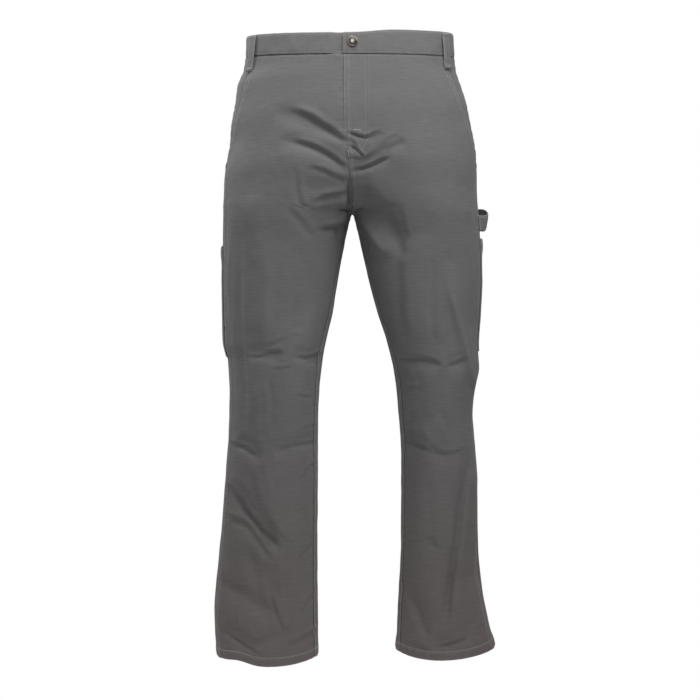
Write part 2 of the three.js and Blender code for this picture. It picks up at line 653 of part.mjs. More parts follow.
// A patch sewn on the back panel: the panel's own points moved out, cut to the pocket's outline.
// The mouth stands off by gape, most at its middle.
function patchPocket({ side, outline, mouthAngles, axisAngle, columnsFrom, columnsTo, gape }) {
  const shape = backPanelShape(side);
  const heights = outline.map((corner) => corner.z);
  const high = Math.max(...heights);
  const low = Math.min(...heights);
  const middle = (mouthAngles[0] + mouthAngles[1]) / 2;
  const halfWidth = (mouthAngles[1] - mouthAngles[0]) / 2;
  const lift = (angle, z) => {
    const nearMouth = smooth(1 - (high - z) / PATCH.gapeDepth);
    const nearMiddle = clamp(1 - ((angle - middle) / halfWidth) ** 2, 0, 1);
    return SEAM_GAP + gape * nearMouth * nearMiddle;
  };
  const cut = (grid) => grid
    .filter((row) => row[0].z < high + PATCH.margin && row[0].z > low - PATCH.margin)
    .map((row) => row.slice(columnsFrom, columnsTo + 1));
  const outer = cut(panelGrid({ ...shape, lift, depth: () => -PATCH.thickness }));
  const inner = cut(panelGrid({ ...shape, lift, depth: () => 0 }));
  const axis = new THREE.Vector3(SIGN[side] * Math.cos(axisAngle * DEGREE), Math.sin(axisAngle * DEGREE), 0);
  const shell = toManifold(wall(outer, inner));
  return fromManifold(shell.intersect(toManifold(cutter(outline, axis, PATCH.reach))));
}

// A doubled strap from the outseam to the back, bowed out for a hammer's handle
function hammerLoop(side) {
  const { from, to, flat } = HAMMER_LOOP;
  const columns = HAMMER_LOOP_COLUMNS;
  const heights = 2;
  const grid = (thickness) => range(heights + 1).map((i) => range(columns + 1).map((j) => {
    const share = j / columns;
    const bow = Math.sin(Math.PI * clamp((share - flat) / (1 - 2 * flat), 0, 1)) ** 1.2;
    const z = HAMMER_LOOP.centre + HAMMER_LOOP.rise * share + (i / heights - 0.5) * HAMMER_LOOP.height;
    const out = SEAM_GAP + HAMMER_LOOP.standOff * bow + thickness;
    return cloth(side, from + (to - from) * share, z, out);
  }));
  return wall(grid(HAMMER_LOOP.thickness), grid(0));
}

// Outlines of the tool pockets, from the mouth's front corner: angle on the leg and height
const TOOL_POCKETS = {
  left: [
    { angle: 164, z: -332 },
    { angle: 236, z: -326 },
    { angle: 234, z: -520 },
    { angle: 222, z: -532 },
    { angle: 164, z: -532 },
  ],
  right: [
    { angle: 164, z: -350 },
    { angle: 238, z: -322 },
    { angle: 235, z: -512 },
    { angle: 222, z: -528 },
    { angle: 164, z: -543 },
  ],
};

// Outline of the back pockets, from the mouth's outer corner: distance from the centre and height
const BACK_POCKET = [
  { out: 164, z: -114 },
  { out: 38, z: -126 },
  { out: 46, z: -244 },
  { out: 100, z: -268 },
  { out: 158, z: -236 },
];

const pants = new THREE.Group();

function add(name, geometry, material) {
  const mesh = new THREE.Mesh(geometry, material);
  mesh.name = name;
  pants.add(mesh);
  return mesh;
}

for (const side of ['left', 'right']) {
  add(`front_${side}`, frontPanel(side), CANVAS());
  add(`back_${side}`, panel(backPanelShape(side)), CANVAS());
  add(`yoke_${side}`, yoke(side), CANVAS());
  add(`hip_facing_${side}`, hipFacing(side), CANVAS());
  add(`back_pocket_${side}`, patchPocket({
    side,
    outline: BACK_POCKET.map(({ out, z }) => new THREE.Vector3(SIGN[side] * out, DEPTH_CURVES.back(z), z)),
    mouthAngles: [218, 262],
    axisAngle: 90,
    columnsFrom: 2,
    columnsTo: BACK_COLUMNS,
    gape: 0.9,
  }), TRIM());
  add(`tool_pocket_${side}`, patchPocket({
    side,
    outline: TOOL_POCKETS[side].map(({ angle, z }) => round(side, angle, z)),
    mouthAngles: [164, 237],
    axisAngle: 22,
    columnsFrom: 0,
    columnsTo: 8,
    gape: 3,
  }), TRIM());
}

add('waistband', waistband(), TRIM());
for (const { name, angle } of BELT_LOOPS) {
  add(name, beltLoop(angle), TRIM());
}
add('hammer_loop', hammerLoop('left'), TRIM());

const fastener = add('button', button(), METAL());
const seatAngle = Math.asin(BUTTON.x / WIDTHS.left[1].outer) / DEGREE;
fastener.position.copy(atWaist(seatAngle, BUTTON.z, BAND.proud + SEAM_GAP)).setX(BUTTON.x);
fastener.rotation.z = Math.PI;

export default pants;
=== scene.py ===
"""Carpenter pants in cotton duck, dressed for the render: cloth, seams, sewing and button.

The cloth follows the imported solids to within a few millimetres: the same rounds, seams and large
folds, on a finer grid with the small creases, felled seams and rolled edges that a rigid solid
leaves out. Lengths are in millimetres until a mesh is made; the row frame has the front towards -Y
and the wearer's left towards +X.
"""

import logging
from collections.abc import Callable, Iterable, Sequence
from dataclasses import dataclass, field
from enum import Enum

import bpy
import numpy as np
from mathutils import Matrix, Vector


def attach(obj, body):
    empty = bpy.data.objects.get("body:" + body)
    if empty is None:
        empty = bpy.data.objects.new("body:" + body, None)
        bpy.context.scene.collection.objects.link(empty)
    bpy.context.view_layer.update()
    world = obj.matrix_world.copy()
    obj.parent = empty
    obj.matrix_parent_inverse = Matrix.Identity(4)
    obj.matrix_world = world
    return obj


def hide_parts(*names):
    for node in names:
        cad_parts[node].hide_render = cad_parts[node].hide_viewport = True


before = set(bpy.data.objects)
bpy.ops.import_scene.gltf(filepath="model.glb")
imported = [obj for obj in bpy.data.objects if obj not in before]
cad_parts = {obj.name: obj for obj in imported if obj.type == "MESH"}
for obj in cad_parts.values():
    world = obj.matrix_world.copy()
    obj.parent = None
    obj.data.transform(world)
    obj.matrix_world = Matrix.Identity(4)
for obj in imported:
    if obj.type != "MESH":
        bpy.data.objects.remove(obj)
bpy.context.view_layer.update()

Array = np.ndarray
AngleAt = Callable[[Array], Array]
Socket = bpy.types.NodeSocket
Place = tuple[float, float, float]
log = logging.getLogger("carpenter_pants")

MM = 0.001
# One layer of cloth, the gap between the faces of a seam, and the band's thickness and stand-off
CLOTH = 1.2
SEAM_GAP = 0.3
BAND_THICKNESS = 3.0
BAND_PROUD = 1.0
# The crotch's height, and the height over which the slant of a top edge or a hem fades out
CROTCH = -283.0
SHIFT_FADE = 90.0
# Two rows of stitches by their distance from a seam, and how far cloth runs on past the seam where
# it goes under its neighbour and where the two meet
STITCH_ROWS = (2.0, 8.0)
UNDERLAP = 5.0
MEETING = 0.4


class Side(Enum):
    """The wearer's side; the value is the sign of its X."""

    LEFT = 1
    RIGHT = -1


class Face(Enum):
    """The face of the pants that a fold lies on; the value is the sign of its Y."""

    FRONT = -1
    BACK = 1


# Sizes shared with the solids

WIDTHS: dict[Side, tuple[tuple[float, float, float], ...]] = {
    Side.LEFT: (
        (60, -184, 184), (0, -186, 186), (-30, -189, 189), (-58, -198, 198), (-90, -203, 208),
        (-130, -181, 216), (-160, -156, 223), (-190, -127, 227), (-223, -94, 229),
        (-243, -68, 229), (-263, -38, 230), (-275, -14, 231), (-283, 4.5, 232), (-303, 11, 233),
        (-346, 20, 235), (-404, 34, 236), (-462, 50, 233), (-519, 68, 229), (-562, 78, 231),
        (-606, 85, 223), (-640, 87.5, 220), (-706, 92, 225), (-764, 92, 230), (-879, 92, 230),
        (-966, 88, 238), (-1023, 85.5, 250), (-1062, 82.5, 262),
    ),
    Side.RIGHT: (
        (60, -184, 184), (0, -186, 186), (-30, -190, 190), (-58, -201, 201), (-90, -204, 205),
        (-130, -186, 212), (-160, -161, 214), (-190, -132, 220), (-223, -101, 226),
        (-243, -76, 227), (-263, -46, 228), (-275, -23, 229), (-283, -4.5, 229), (-303, 2, 229),
        (-346, 11, 229), (-404, 22, 229), (-462, 32, 228), (-519, 45, 226), (-548, 50, 219),
        (-600, 55.5, 216), (-678, 58.5, 218), (-764, 59, 225), (-850, 59, 232), (-951, 58, 241),
        (-1000, 57, 245), (-1080, 56, 241),
    ),
}
# Height, front, back, depth where it is widest, squareness
DEPTHS = (
    (60, -108, 106, 0, 2.3), (-10, -110, 109, 0, 2.3), (-60, -115, 121, 1, 2.32),
    (-120, -120, 134, 3, 2.35), (-190, -120, 140, 5, 2.35), (-240, -115, 137, 6, 2.32),
    (-283, -110, 128, 7, 2.3), (-335, -101, 114, 6, 2.25), (-430, -93, 99, 4, 2.2),
    (-520, -88, 89, 2, 2.2), (-600, -85, 82, 0, 2.2), (-700, -78, 84, 2, 2.15),
    (-835, -70, 84, 4, 2.1), (-960, -62, 71, 2, 2.05), (-1090, -58, 57, 0, 2.05),
)
FRONT_RISE = ((60, -11), (-180, -9), (-235, -3), (-283, 4.5))
BACK_RISE = ((60, 0), (-150, 1), (-283, 4.5))
OUTSEAM = ((60, 178), (-60, 176), (-195, 171), (-215, 167.5), (-262, 162), (-1090, 160))
INSEAM = ((-283, 0), (-330, 8), (-420, 17), (-560, 21), (-1090, 20))
MOUTH = ((60, 150), (-50, 153), (-90, 156), (-140, 161), (-195, 168.5))
MOUTH_BOTTOM = -195.0
HIPS = 186.0
YOKE_CENTRE, YOKE_RISE = -92.0, 44.0
# The tool pockets' corners from the front end of the mouth round: angle and height
TOOL_POCKETS = {
    Side.LEFT: ((164, -332), (236, -326), (234, -520), (222, -532), (164, -532)),
    Side.RIGHT: ((164, -350), (238, -322), (235, -512), (222, -528), (164, -543)),
}
# Width from the lap's edge and depth of the curve of the fly's two stitched rows, the height where
# the curve starts, and how far from the edge it ends
FLY_ROWS = ((37.0, 41.0), (43.0, 50.0))
FLY_TURN, FLY_END = -148.0, 2.0
# Degrees round the waist; the two in front stand up to 1.2 from the angles of the solids
BELT_LOOPS = (
    ("belt_loop_front_left", 61.8), ("belt_loop_back_left", 128.0),
    ("belt_loop_back_centre", 180.0), ("belt_loop_back_right", 232.0),
    ("belt_loop_front_right", 295.7),
)
# The button's size and place, and its profile from the back round to the crown, as shares of both
BUTTON_RADIUS, BUTTON_HEIGHT, BUTTON_OUT = 9.0, 3.8, 4.3
BUTTON_PROFILE = (
    (0, 0), (0.7, 0), (0.93, 0.2), (1, 0.48), (0.95, 0.76), (0.84, 0.84), (0.77, 0.72),
    (0.55, 0.88), (0.28, 0.97), (0, 1),
)

# Large folds: x0, z0, x1, z1, bow, half width, height. They are those of the solids, but for the
# one from (12, -250), beside the crotch, which lies lower here
FRONT_FOLDS = (
    (-130, -112, -14, -160, -6, 15, -4), (-124, -166, -2, -216, 7, 14, -4),
    (-84, -252, 2, -240, 0, 14, -2.5), (-46, -300, -92, -500, 8, 24, -5),
    (-170, -260, -176, -500, 4, 20, 3), (0, -218, 70, -193, -3, 14, -4),
    (12, -250, 100, -348, -6, 17, -6), (22, -262, 70, -372, -4, 15, 3.5),
    (178, -380, 208, -580, 6, 16, 3), (120, -330, 128, -520, 0, 26, 3),
    (-178, -532, -118, -548, 4, 13, -4), (-98, -532, -48, -546, -3, 13, -3.5),
    (-198, -686, -150, -722, 0, 14, -3.5), (-132, -712, -54, -688, 4, 14, -3.5),
    (-214, -764, -112, -884, 5, 15, -5), (-208, -826, -138, -894, 3, 14, -3.5),
    (-186, -886, -108, -1010, 12, 20, -4), (-222, -1018, -164, -1054, -5, 14, -4),
    (-168, -1040, -58, -1014, -8, 14, -3.5), (84, -540, 160, -556, -3, 13, -4),
    (168, -558, 206, -548, 0, 13, -3), (92, -688, 130, -704, 0, 14, -3.5),
    (134, -702, 178, -720, 0, 14, -3), (214, -700, 163, -1024, -6, 14, -5),
    (228, -740, 186, -1010, -6, 15, 3), (88, -940, 146, -1022, 5, 15, -3.5),
    (140, -1044, 226, -1012, -10, 14, -4),
)
BACK_FOLDS = (
    (8, -258, 120, -322, -8, 18, -6), (2, -258, -112, -330, 8, 18, -6),
    (14, -296, 92, -388, -6, 18, -4), (-6, -300, -86, -396, 6, 18, -4),
    (92, -574, 206, -596, -8, 16, -6), (96, -630, 204, -612, 8, 16, -5),
    (-204, -590, -64, -570, 8, 16, -6), (-200, -610, -70, -634, -6, 16, -5),
    (100, -760, 196, -850, 8, 18, -4), (-70, -770, -180, -866, -8, 18, -4),
    (96, -1018, 232, -996, -10, 16, -4), (-66, -1032, -222, -1012, 10, 16, -4),
)

# Small creases: half width, height on the line (below zero for a trough), height of the
# roll on its left (above a line that runs to +X), then the points that it runs through, as (x, z)
FRONT_CREASES = (
    (8, -0.6, 2.9, (-114, -116), (-103, -116), (-93, -118), (-81, -122), (-65, -130), (-48, -141),
     (-31, -152), (-15, -163), (3, -171)),
    (6, -0.8, 2.4, (-114, -173), (-103, -170), (-93, -171), (-82, -173), (-65, -178), (-48, -186),
     (-31, -196), (-15, -208), (3, -218)),
    (6, -0.5, 1.7, (-79, -214), (-60, -216), (-43, -221), (-26, -229), (0, -238)),
    (6, -3.4, 3.1, (-67, -278), (-52, -270), (-40, -265), (-28, -262), (-14, -260), (2, -253)),
    (3, -0.5, 1.4, (-24, -287), (-11, -280), (-3, -263)),
    (7, -2.9, 3.6, (-59, -323), (-40, -317), (-23, -311), (4, -293)),
    (3.6, -1.7, 3.1, (-7, -223), (10, -218), (28, -214), (45, -207), (69, -195)),
    (4.5, -0.6, 1.2, (10, -205), (27, -199), (45, -188), (58, -175), (72, -164), (89, -157)),
    (8, -1.7, 1.4, (51, -187), (76, -176), (96, -166)),
    (6, -1.2, 1, (27, -169), (39, -164), (52, -152)),
    (7, -1.4, 0.7, (-7, -169), (5, -176), (10, -190)),
    (3.4, -1.4, 2.5, (-12, -156), (3, -157), (19, -162), (31, -162), (46, -152)),
    (3, -0.6, 1.6, (-10, -176), (7, -181), (17, -190), (27, -200)),
    (3, -0.7, 1, (-7, -195), (7, -199), (21, -200), (34, -195)),
    (3, -0.1, 0.7, (0, -166), (10, -175), (15, -187)),
    (4, 1, 0, (2, -230), (21, -229), (41, -222)),
    (12, -4.8, 0, (52, -271), (62, -291), (73, -315), (83, -343), (95, -377)),
    (5.5, 5, 0, (3, -253), (14, -279), (26, -303), (42, -330), (66, -368)),
    (8, -1.9, 0.7, (5, -276), (16, -303), (28, -342), (39, -375)),
    (5, -0.5, 1.6, (83, -272), (90, -295), (95, -316), (100, -340)),
    (6, -0.4, 1.1, (-93, -204), (-89, -234), (-86, -265), (-76, -292)),
    (8, -0.6, 1.2, (-114, -275), (-97, -292), (-80, -309), (-59, -339)),
    (11, 6.2, 0, (-9, -253), (-10, -272), (-12, -291), (-21, -322)),
    (8, 2.6, 0, (-76, -282), (-55, -282), (-35, -282), (-9, -282)),
    (4, -8.4, 0, (0, -227), (0, -250), (1, -271), (2, -302)),
    (4.5, -4.3, -1.2, (4, -274), (-7, -291), (-16, -310), (-26, -340)),
    (4.5, -2.9, 1.2, (7, -269), (16, -293), (25, -321), (35, -357)),
    (8, -1.8, 1.4, (-184, -295), (-188, -356), (-189, -443), (-187, -521), (-182, -600),
     (-179, -688)),
    (4, 1.6, 0, (-203, -306), (-211, -354), (-215, -406), (-211, -460), (-206, -495)),
    (4, 1.3, 0, (-203, -355), (-202, -425), (-204, -495), (-206, -534)),
    (15, -2.9, 0, (-100, -309), (-85, -365), (-80, -426), (-85, -486), (-94, -533)),
    (4, -0.6, -0.8, (-68, -436), (-58, -467), (-50, -502)),
    (14, 3.4, 0, (-149, -314), (-146, -391), (-149, -461), (-153, -521)),
    (4.2, -0.7, 1.7, (-185, -542), (-166, -541), (-151, -539), (-137, -532), (-111, -533)),
    (5, -0.2, 0.8, (-153, -523), (-136, -518), (-115, -509)),
    (4.6, -0.7, 2, (-101, -540), (-81, -542), (-65, -541), (-39, -528)),
    (4, -0.2, 1, (-143, -561), (-122, -561), (-101, -558)),
    (3.5, -0.2, 0.7, (-84, -558), (-70, -551), (-53, -550)),
    (4, -0.4, 0.8, (-98, -603), (-81, -611), (-64, -610)),
    (10, 1.6, 0, (-164, -533), (-162, -591), (-161, -652), (-154, -713), (-140, -775),
     (-128, -837)),
    (7, -0.7, -1, (-146, -568), (-141, -617), (-138, -670)),
    (5.5, -0.7, 1.6, (-225, -692), (-201, -696), (-182, -702), (-161, -717)),
    (4.6, -0.5, 1.3, (-136, -708), (-112, -700), (-93, -695), (-76, -694), (-50, -691)),
    (4, -0.2, 0.7, (-88, -670), (-74, -664), (-57, -664)),
    (6.5, -2.4, 2.9, (-236, -755), (-211, -774), (-195, -789), (-181, -813), (-165, -828),
     (-151, -845), (-138, -854), (-128, -867), (-116, -887)),
    (7, -1.4, 1.9, (-240, -813), (-201, -828), (-181, -837), (-168, -854), (-154, -874),
     (-133, -902)),
    (4, 1.1, 0.4, (-190, -780), (-175, -796), (-159, -815), (-144, -835)),
    (13, -6.7, 0, (-221, -772), (-192, -808), (-163, -842), (-126, -884)),
    (9, 2.9, 0, (-172, -782), (-151, -812), (-128, -840), (-102, -866)),
    (10, -1, 1.6, (-175, -709), (-170, -749), (-158, -793), (-140, -828), (-123, -867)),
    (4, -0.2, 0.8, (-95, -762), (-83, -750), (-71, -735), (-54, -723)),
    (9, -0.6, -1.1, (-95, -787), (-85, -830), (-81, -875), (-88, -919)),
    (4, -0.4, 1, (-99, -903), (-85, -892), (-71, -878), (-57, -866)),
    (16, -2.9, 1.1, (-194, -847), (-176, -881), (-165, -925), (-155, -969), (-141, -1001)),
    (9, 1.6, -0.4, (-126, -872), (-125, -916), (-120, -970), (-113, -1041)),
    (22, -7.2, 0.7, (-251, -938), (-208, -950), (-179, -968), (-151, -985), (-120, -1002)),
    (4.5, -0.6, 1.9, (-142, -945), (-135, -968), (-127, -993), (-113, -1027)),
    (4, -0.5, 1.4, (-237, -1022), (-216, -1031), (-194, -1043), (-172, -1056), (-148, -1068)),
    (5, -0.5, 1.4, (-183, -1048), (-165, -1042), (-149, -1035), (-127, -1024)),
    (5.5, -1, 2.8, (-121, -1058), (-101, -1045), (-83, -1038), (-68, -1032), (-50, -1024)),
    (6, -0.7, -1.9, (-111, -981), (-109, -1015), (-109, -1050), (-113, -1080)),
    (4, -0.6, 1.4, (-95, -1003), (-81, -985), (-69, -969), (-55, -956)),
    (3, -0.4, 1, (-207, -978), (-201, -1001), (-196, -1027)),
    (4, -0.2, 1, (-220, -934), (-201, -943), (-183, -949)),
    (10, 3, 0, (157, -281), (154, -348), (153, -426), (155, -495), (160, -533)),
    (11, -1.2, 1.8, (92, -319), (89, -377), (91, -443), (98, -513)),
    (5, -0.6, -1.3, (166, -336), (170, -377), (174, -426), (178, -453)),
    (14, -1.9, -0.7, (184, -325), (190, -391), (199, -451), (211, -512)),
    (6, 7.4, 0, (168, -377), (179, -448), (188, -488), (198, -527), (209, -565), (225, -616)),
    (3.5, 1.4, 0, (201, -331), (207, -358), (214, -393), (216, -424)),
    (4, -0.7, 0.7, (203, -512), (209, -534), (215, -558), (217, -587)),
    (7, -0.6, -0.8, (139, -357), (139, -426), (139, -495), (150, -530)),
    (5, -0.7, 1.8, (68, -542), (91, -542), (115, -542), (136, -545), (150, -550), (164, -558)),
    (4, -0.6, 1.7, (164, -556), (178, -554), (190, -549), (203, -542)),
    (28, -3.4, 0.7, (112, -533), (115, -574), (122, -617), (140, -673)),
    (6, -0.5, 1, (92, -601), (105, -598), (122, -593)),
    (10, 1.7, 0, (163, -513), (165, -565), (165, -617), (171, -666)),
    (6, 1.2, 0, (126, -659), (133, -677), (145, -694), (164, -703)),
    (7, -0.6, -1.1, (153, -638), (164, -661), (171, -687)),
    (5, -0.7, 1.6, (89, -691), (106, -692), (123, -698), (143, -706)),
    (4.4, -0.5, 1.4, (140, -705), (159, -709), (180, -708), (204, -701)),
    (7, -6, 3.1, (225, -691), (214, -733), (206, -773), (199, -817), (193, -860), (186, -904),
     (179, -952), (174, -991), (169, -1033)),
    (11, -2, 0, (222, -743), (214, -804), (206, -865), (197, -921)),
    (13, 1.8, 0, (198, -706), (187, -761), (179, -828), (172, -899), (165, -962)),
    (16, -1.9, 0, (130, -698), (135, -766), (142, -837), (147, -899)),
    (4, -0.2, 0.8, (202, -831), (216, -843), (233, -841)),
    (3.5, -0.2, 0.8, (201, -861), (214, -870), (231, -870)),
    (10, -0.8, 1.2, (123, -857), (144, -863), (161, -884)),
    (10, -5.5, -1.2, (86, -949), (101, -965), (113, -986), (123, -1010), (136, -1041)),
    (24, -6, 0.4, (151, -941), (186, -934), (228, -926), (265, -906)),
    (3.8, -0.6, 2.4, (141, -1048), (160, -1049), (178, -1045), (194, -1041), (212, -1034)),
    (5, 1.9, 0, (151, -1040), (172, -1035), (197, -1030), (219, -1021), (243, -1009)),
    (4, -0.5, -1.2, (240, -960), (245, -988), (251, -1017)),
    (5, -0.5, 1.4, (82, -1044), (103, -1044), (124, -1051), (144, -1062)),
)
BACK_CREASES = (
    (9, -1.5, 2.1, (6, -262), (38, -276), (78, -304), (118, -330)),
    (9, -1.4, 2, (-116, -336), (-72, -306), (-34, -280), (0, -264)),
    (10, 2.4, 0, (24, -256), (64, -270), (112, -300)),
    (10, 2.2, 0, (-108, -302), (-60, -272), (-20, -258)),
    (7, -2.4, 0, (12, -300), (42, -330), (64, -372), (84, -402)),
    (7, -2.4, 0, (-4, -304), (-32, -336), (-56, -378), (-74, -410)),
    (7, -0.7, 1, (10, -170), (34, -176), (62, -190), (88, -210)),
    (6, -0.6, 0.9, (-62, -176), (-36, -158), (-8, -150)),
    (6, -0.5, 0.7, (6, -212), (30, -224), (54, -238)),
    (8, -1.4, 1.9, (96, -580), (130, -592), (168, -596), (204, -586)),
    (7, -1.2, 1.6, (104, -606), (140, -612), (176, -606), (208, -612)),
    (8, 2, 0, (98, -594), (138, -602), (178, -602)),
    (7, -1.1, 1.5, (92, -652), (122, -640), (160, -634), (196, -640)),
    (8, -1.4, 1.9, (-206, -584), (-160, -596), (-116, -588), (-66, -572)),
    (7, -1.2, 1.6, (-208, -618), (-166, -608), (-118, -610), (-70, -620)),
    (8, 2, 0, (-204, -600), (-150, -606), (-90, -594)),
    (7, -1, 1.4, (-196, -648), (-150, -640), (-98, -644)),
    (6, -0.9, 1.2, (112, -540), (140, -548), (176, -540)),
    (6, -0.9, 1.2, (-188, -546), (-150, -552), (-104, -540)),
    (10, -2, 0, (104, -700), (128, -742), (168, -790), (196, -846)),
    (10, -2, 0, (-70, -706), (-98, -752), (-136, -806), (-176, -862)),
    (12, 1.8, 0, (150, -680), (152, -800), (158, -930)),
    (12, 1.8, 0, (-132, -690), (-138, -820), (-146, -940)),
    (7, -1, 1.4, (98, -1004), (140, -1012), (186, -1004), (232, -984)),
    (7, -1, 1.4, (-222, -1004), (-166, -1026), (-116, -1030), (-68, -1018)),
    (14, 1.6, 0, (120, -330), (128, -430), (132, -520)),
    (14, 1.6, 0, (-118, -336), (-124, -430), (-126, -520)),
    (6, -1.6, 0, (92, -880), (112, -912), (134, -940)),
    (6, -1.6, 0, (-216, -880), (-190, -918), (-166, -948)),
)


# Small maths


def smooth(value: Array | float) -> Array:
    """Three times the square less twice the cube, of a value kept from 0 to 1."""
    share = np.clip(value, 0.0, 1.0)
    return share * share * (3 - 2 * share)


def signed_power(value: Array, power: Array) -> Array:
    """The size of a value to a power, with the value's sign."""
    return np.sign(value) * np.abs(value) ** power


def unit(vectors: Array) -> Array:
    """Vectors divided by their lengths."""
    return vectors / np.maximum(np.linalg.norm(vectors, axis=-1, keepdims=True), 1e-12)


def bump(distance: Array, width: float) -> Array:
    """A bell: e to the minus square of distance over width."""
    return np.exp(-((distance / width) ** 2))


class Curve:
    """A monotone cubic through a table of heights (from the top down) and values."""

    def __init__(self, heights: Sequence[float], values: Sequence[float]) -> None:
        """Keeps the points and the slopes there: the harmonic mean of both sides' slopes."""
        self.z = np.asarray(heights, float)
        self.v = np.asarray(values, float)
        slope = np.diff(self.v) / np.diff(self.z)
        before, after = slope[:-1], slope[1:]
        same_way = before * after > 0
        total = np.where(same_way, before + after, 1.0)
        middle = np.where(same_way, 2 * before * after / total, 0.0)
        self.tangent = np.concatenate([slope[:1], middle, slope[-1:]])

    def __call__(self, heights: Array | float) -> Array:
        """The value at each height, by the cubic of the span that holds it."""
        z = np.clip(heights, self.z[-1], self.z[0])
        i = np.clip(np.searchsorted(-self.z, -z, side="right") - 1, 0, len(self.z) - 2)
        span = self.z[i + 1] - self.z[i]
        t = (z - self.z[i]) / span
        bend = t * (1 - t)
        rise = (self.v[i + 1] - self.v[i]) * t * t * (3 - 2 * t)
        return self.v[i] + rise + span * bend * (
            self.tangent[i] * (1 - t) - self.tangent[i + 1] * t
        )


def columns_of(table: Iterable[Sequence[float]]) -> list[tuple[float, ...]]:
    """A table's columns."""
    return list(zip(*table))


def curve_of(table: Iterable[Sequence[float]], column: int = 1) -> Curve:
    """The curve through one column of a table whose first column is the height."""
    columns = columns_of(table)
    return Curve(columns[0], columns[column])


def crowded(count: int, even: float) -> Array:
    """Shares from 0 to 1 that lie closer together at both ends.

    Args:
        count: How many.
        even: The part of an even spacing in them; the rest follows a cosine.

    Returns:
        The shares, rising.
    """
    steps = np.linspace(0, 1, count)
    return even * steps + (1 - even) * (0.5 - 0.5 * np.cos(np.pi * steps))


FRONT_DEPTH, BACK_DEPTH, WIDEST, SQUARE = (curve_of(DEPTHS, k) for k in (1, 2, 3, 4))
front_rise, back_rise = curve_of(FRONT_RISE), curve_of(BACK_RISE)
outseam, inseam, mouth = curve_of(OUTSEAM), curve_of(INSEAM), curve_of(MOUTH)


@dataclass(frozen=True)
class Waves:
    """A smooth wavering of one or three variables: sines of random directions and phases."""

    seed: int
    longest: float
    shortest: float
    count: int = 18
    upright: float = 1.0

    def at(self, points: Array) -> Array:
        """The wavering at points, from about -1 to 1.

        Args:
            points: Places, with their coordinates in the last axis.

        Returns:
            The sum of sines of (wave vector times place + phase), over the root of their number.
            Waves are longer along the last coordinate by the factor upright.
        """
        rng = np.random.default_rng(self.seed)
        size = points.shape[-1]
        ways = unit(rng.normal(size=(self.count, size)))
        ways[:, -1] /= self.upright
        lengths = np.exp(rng.uniform(np.log(self.shortest), np.log(self.longest), self.count))
        phases = rng.uniform(0, 2 * np.pi, self.count)
        total = np.zeros(points.shape[:-1])
        for way, length, phase in zip(ways, lengths, phases):
            total += np.sin(points @ (way * 2 * np.pi / length) + phase)
        return total / np.sqrt(self.count)


DRAPE = Waves(seed=11, longest=190, shortest=70, upright=2.2)
RUMPLE = Waves(seed=23, longest=46, shortest=18, count=26, upright=1.3)
PUCKER = Waves(seed=5, longest=19, shortest=6.5, count=14)


def pucker(along: Array, seed_shift: float = 0.0) -> Array:
    """The wavering of a sewn line by the distance along it."""
    return PUCKER.at((along + 1000 * seed_shift)[..., None])


# The form of the cloth

# A crease: the share of a wide and of a narrow bell in it with their widths over its own, the
# factor that brings a roll to its full height, how far from the line it is worked out over its
# width, and the shares of the line over which it fades in and out
WIDE_BELL, NARROW_BELL = (0.55, 1.25), (0.45, 0.6)
ROLL_PEAK = 2.33
CREASE_REACH = 3.2
FADE_IN, FADE_OUT = 0.38, 0.2
# The middle of a round is averaged over heights at this pace, by a bell of this width and reach
MIDDLE_PACE, MIDDLE_BELL, MIDDLE_REACH = 4.0, 37.0, 80.0
# Creases of a face start where the cloth turns towards it by the first share, and are whole when
# it has turned by the second more
FACE_FROM, FACE_FADE = 0.1, 0.4
# The wavering of the cloth: the height that it starts at, the way down to its full size, and the
# sizes of its two kinds
WAVER_TOP, WAVER_FADE = -40.0, 120.0
DRAPE_SIZE, RUMPLE_SIZE = 0.9, 0.22


@dataclass(frozen=True)
class Fold:
    """A large fold of the solids: a bowed line with a half width and a height."""

    start: tuple[float, float]
    end: tuple[float, float]
    bow: float
    width: float
    height: float

    def lift(self, x: Array, z: Array) -> Array:
        """How far the fold lifts the cloth.

        Args:
            x: Places across.
            z: Heights.

        Returns:
            Height times a bell of the distance from the bowed line, fading at both ends as one
            less the fourth power of (2 t - 1), where t runs along the line.
        """
        way = np.subtract(self.end, self.start)
        length = np.hypot(*way)
        way = way / length
        dx, dz = x - self.start[0], z - self.start[1]
        run = dx * way[0] + dz * way[1]
        t = np.clip(run / length, 0, 1)
        past = run - t * length
        aside = dz * way[0] - dx * way[1] - self.bow * 4 * t * (1 - t)
        near = np.hypot(aside, past) / self.width
        return self.height * np.exp(-near * near) * (1 - (2 * t - 1) ** 4)


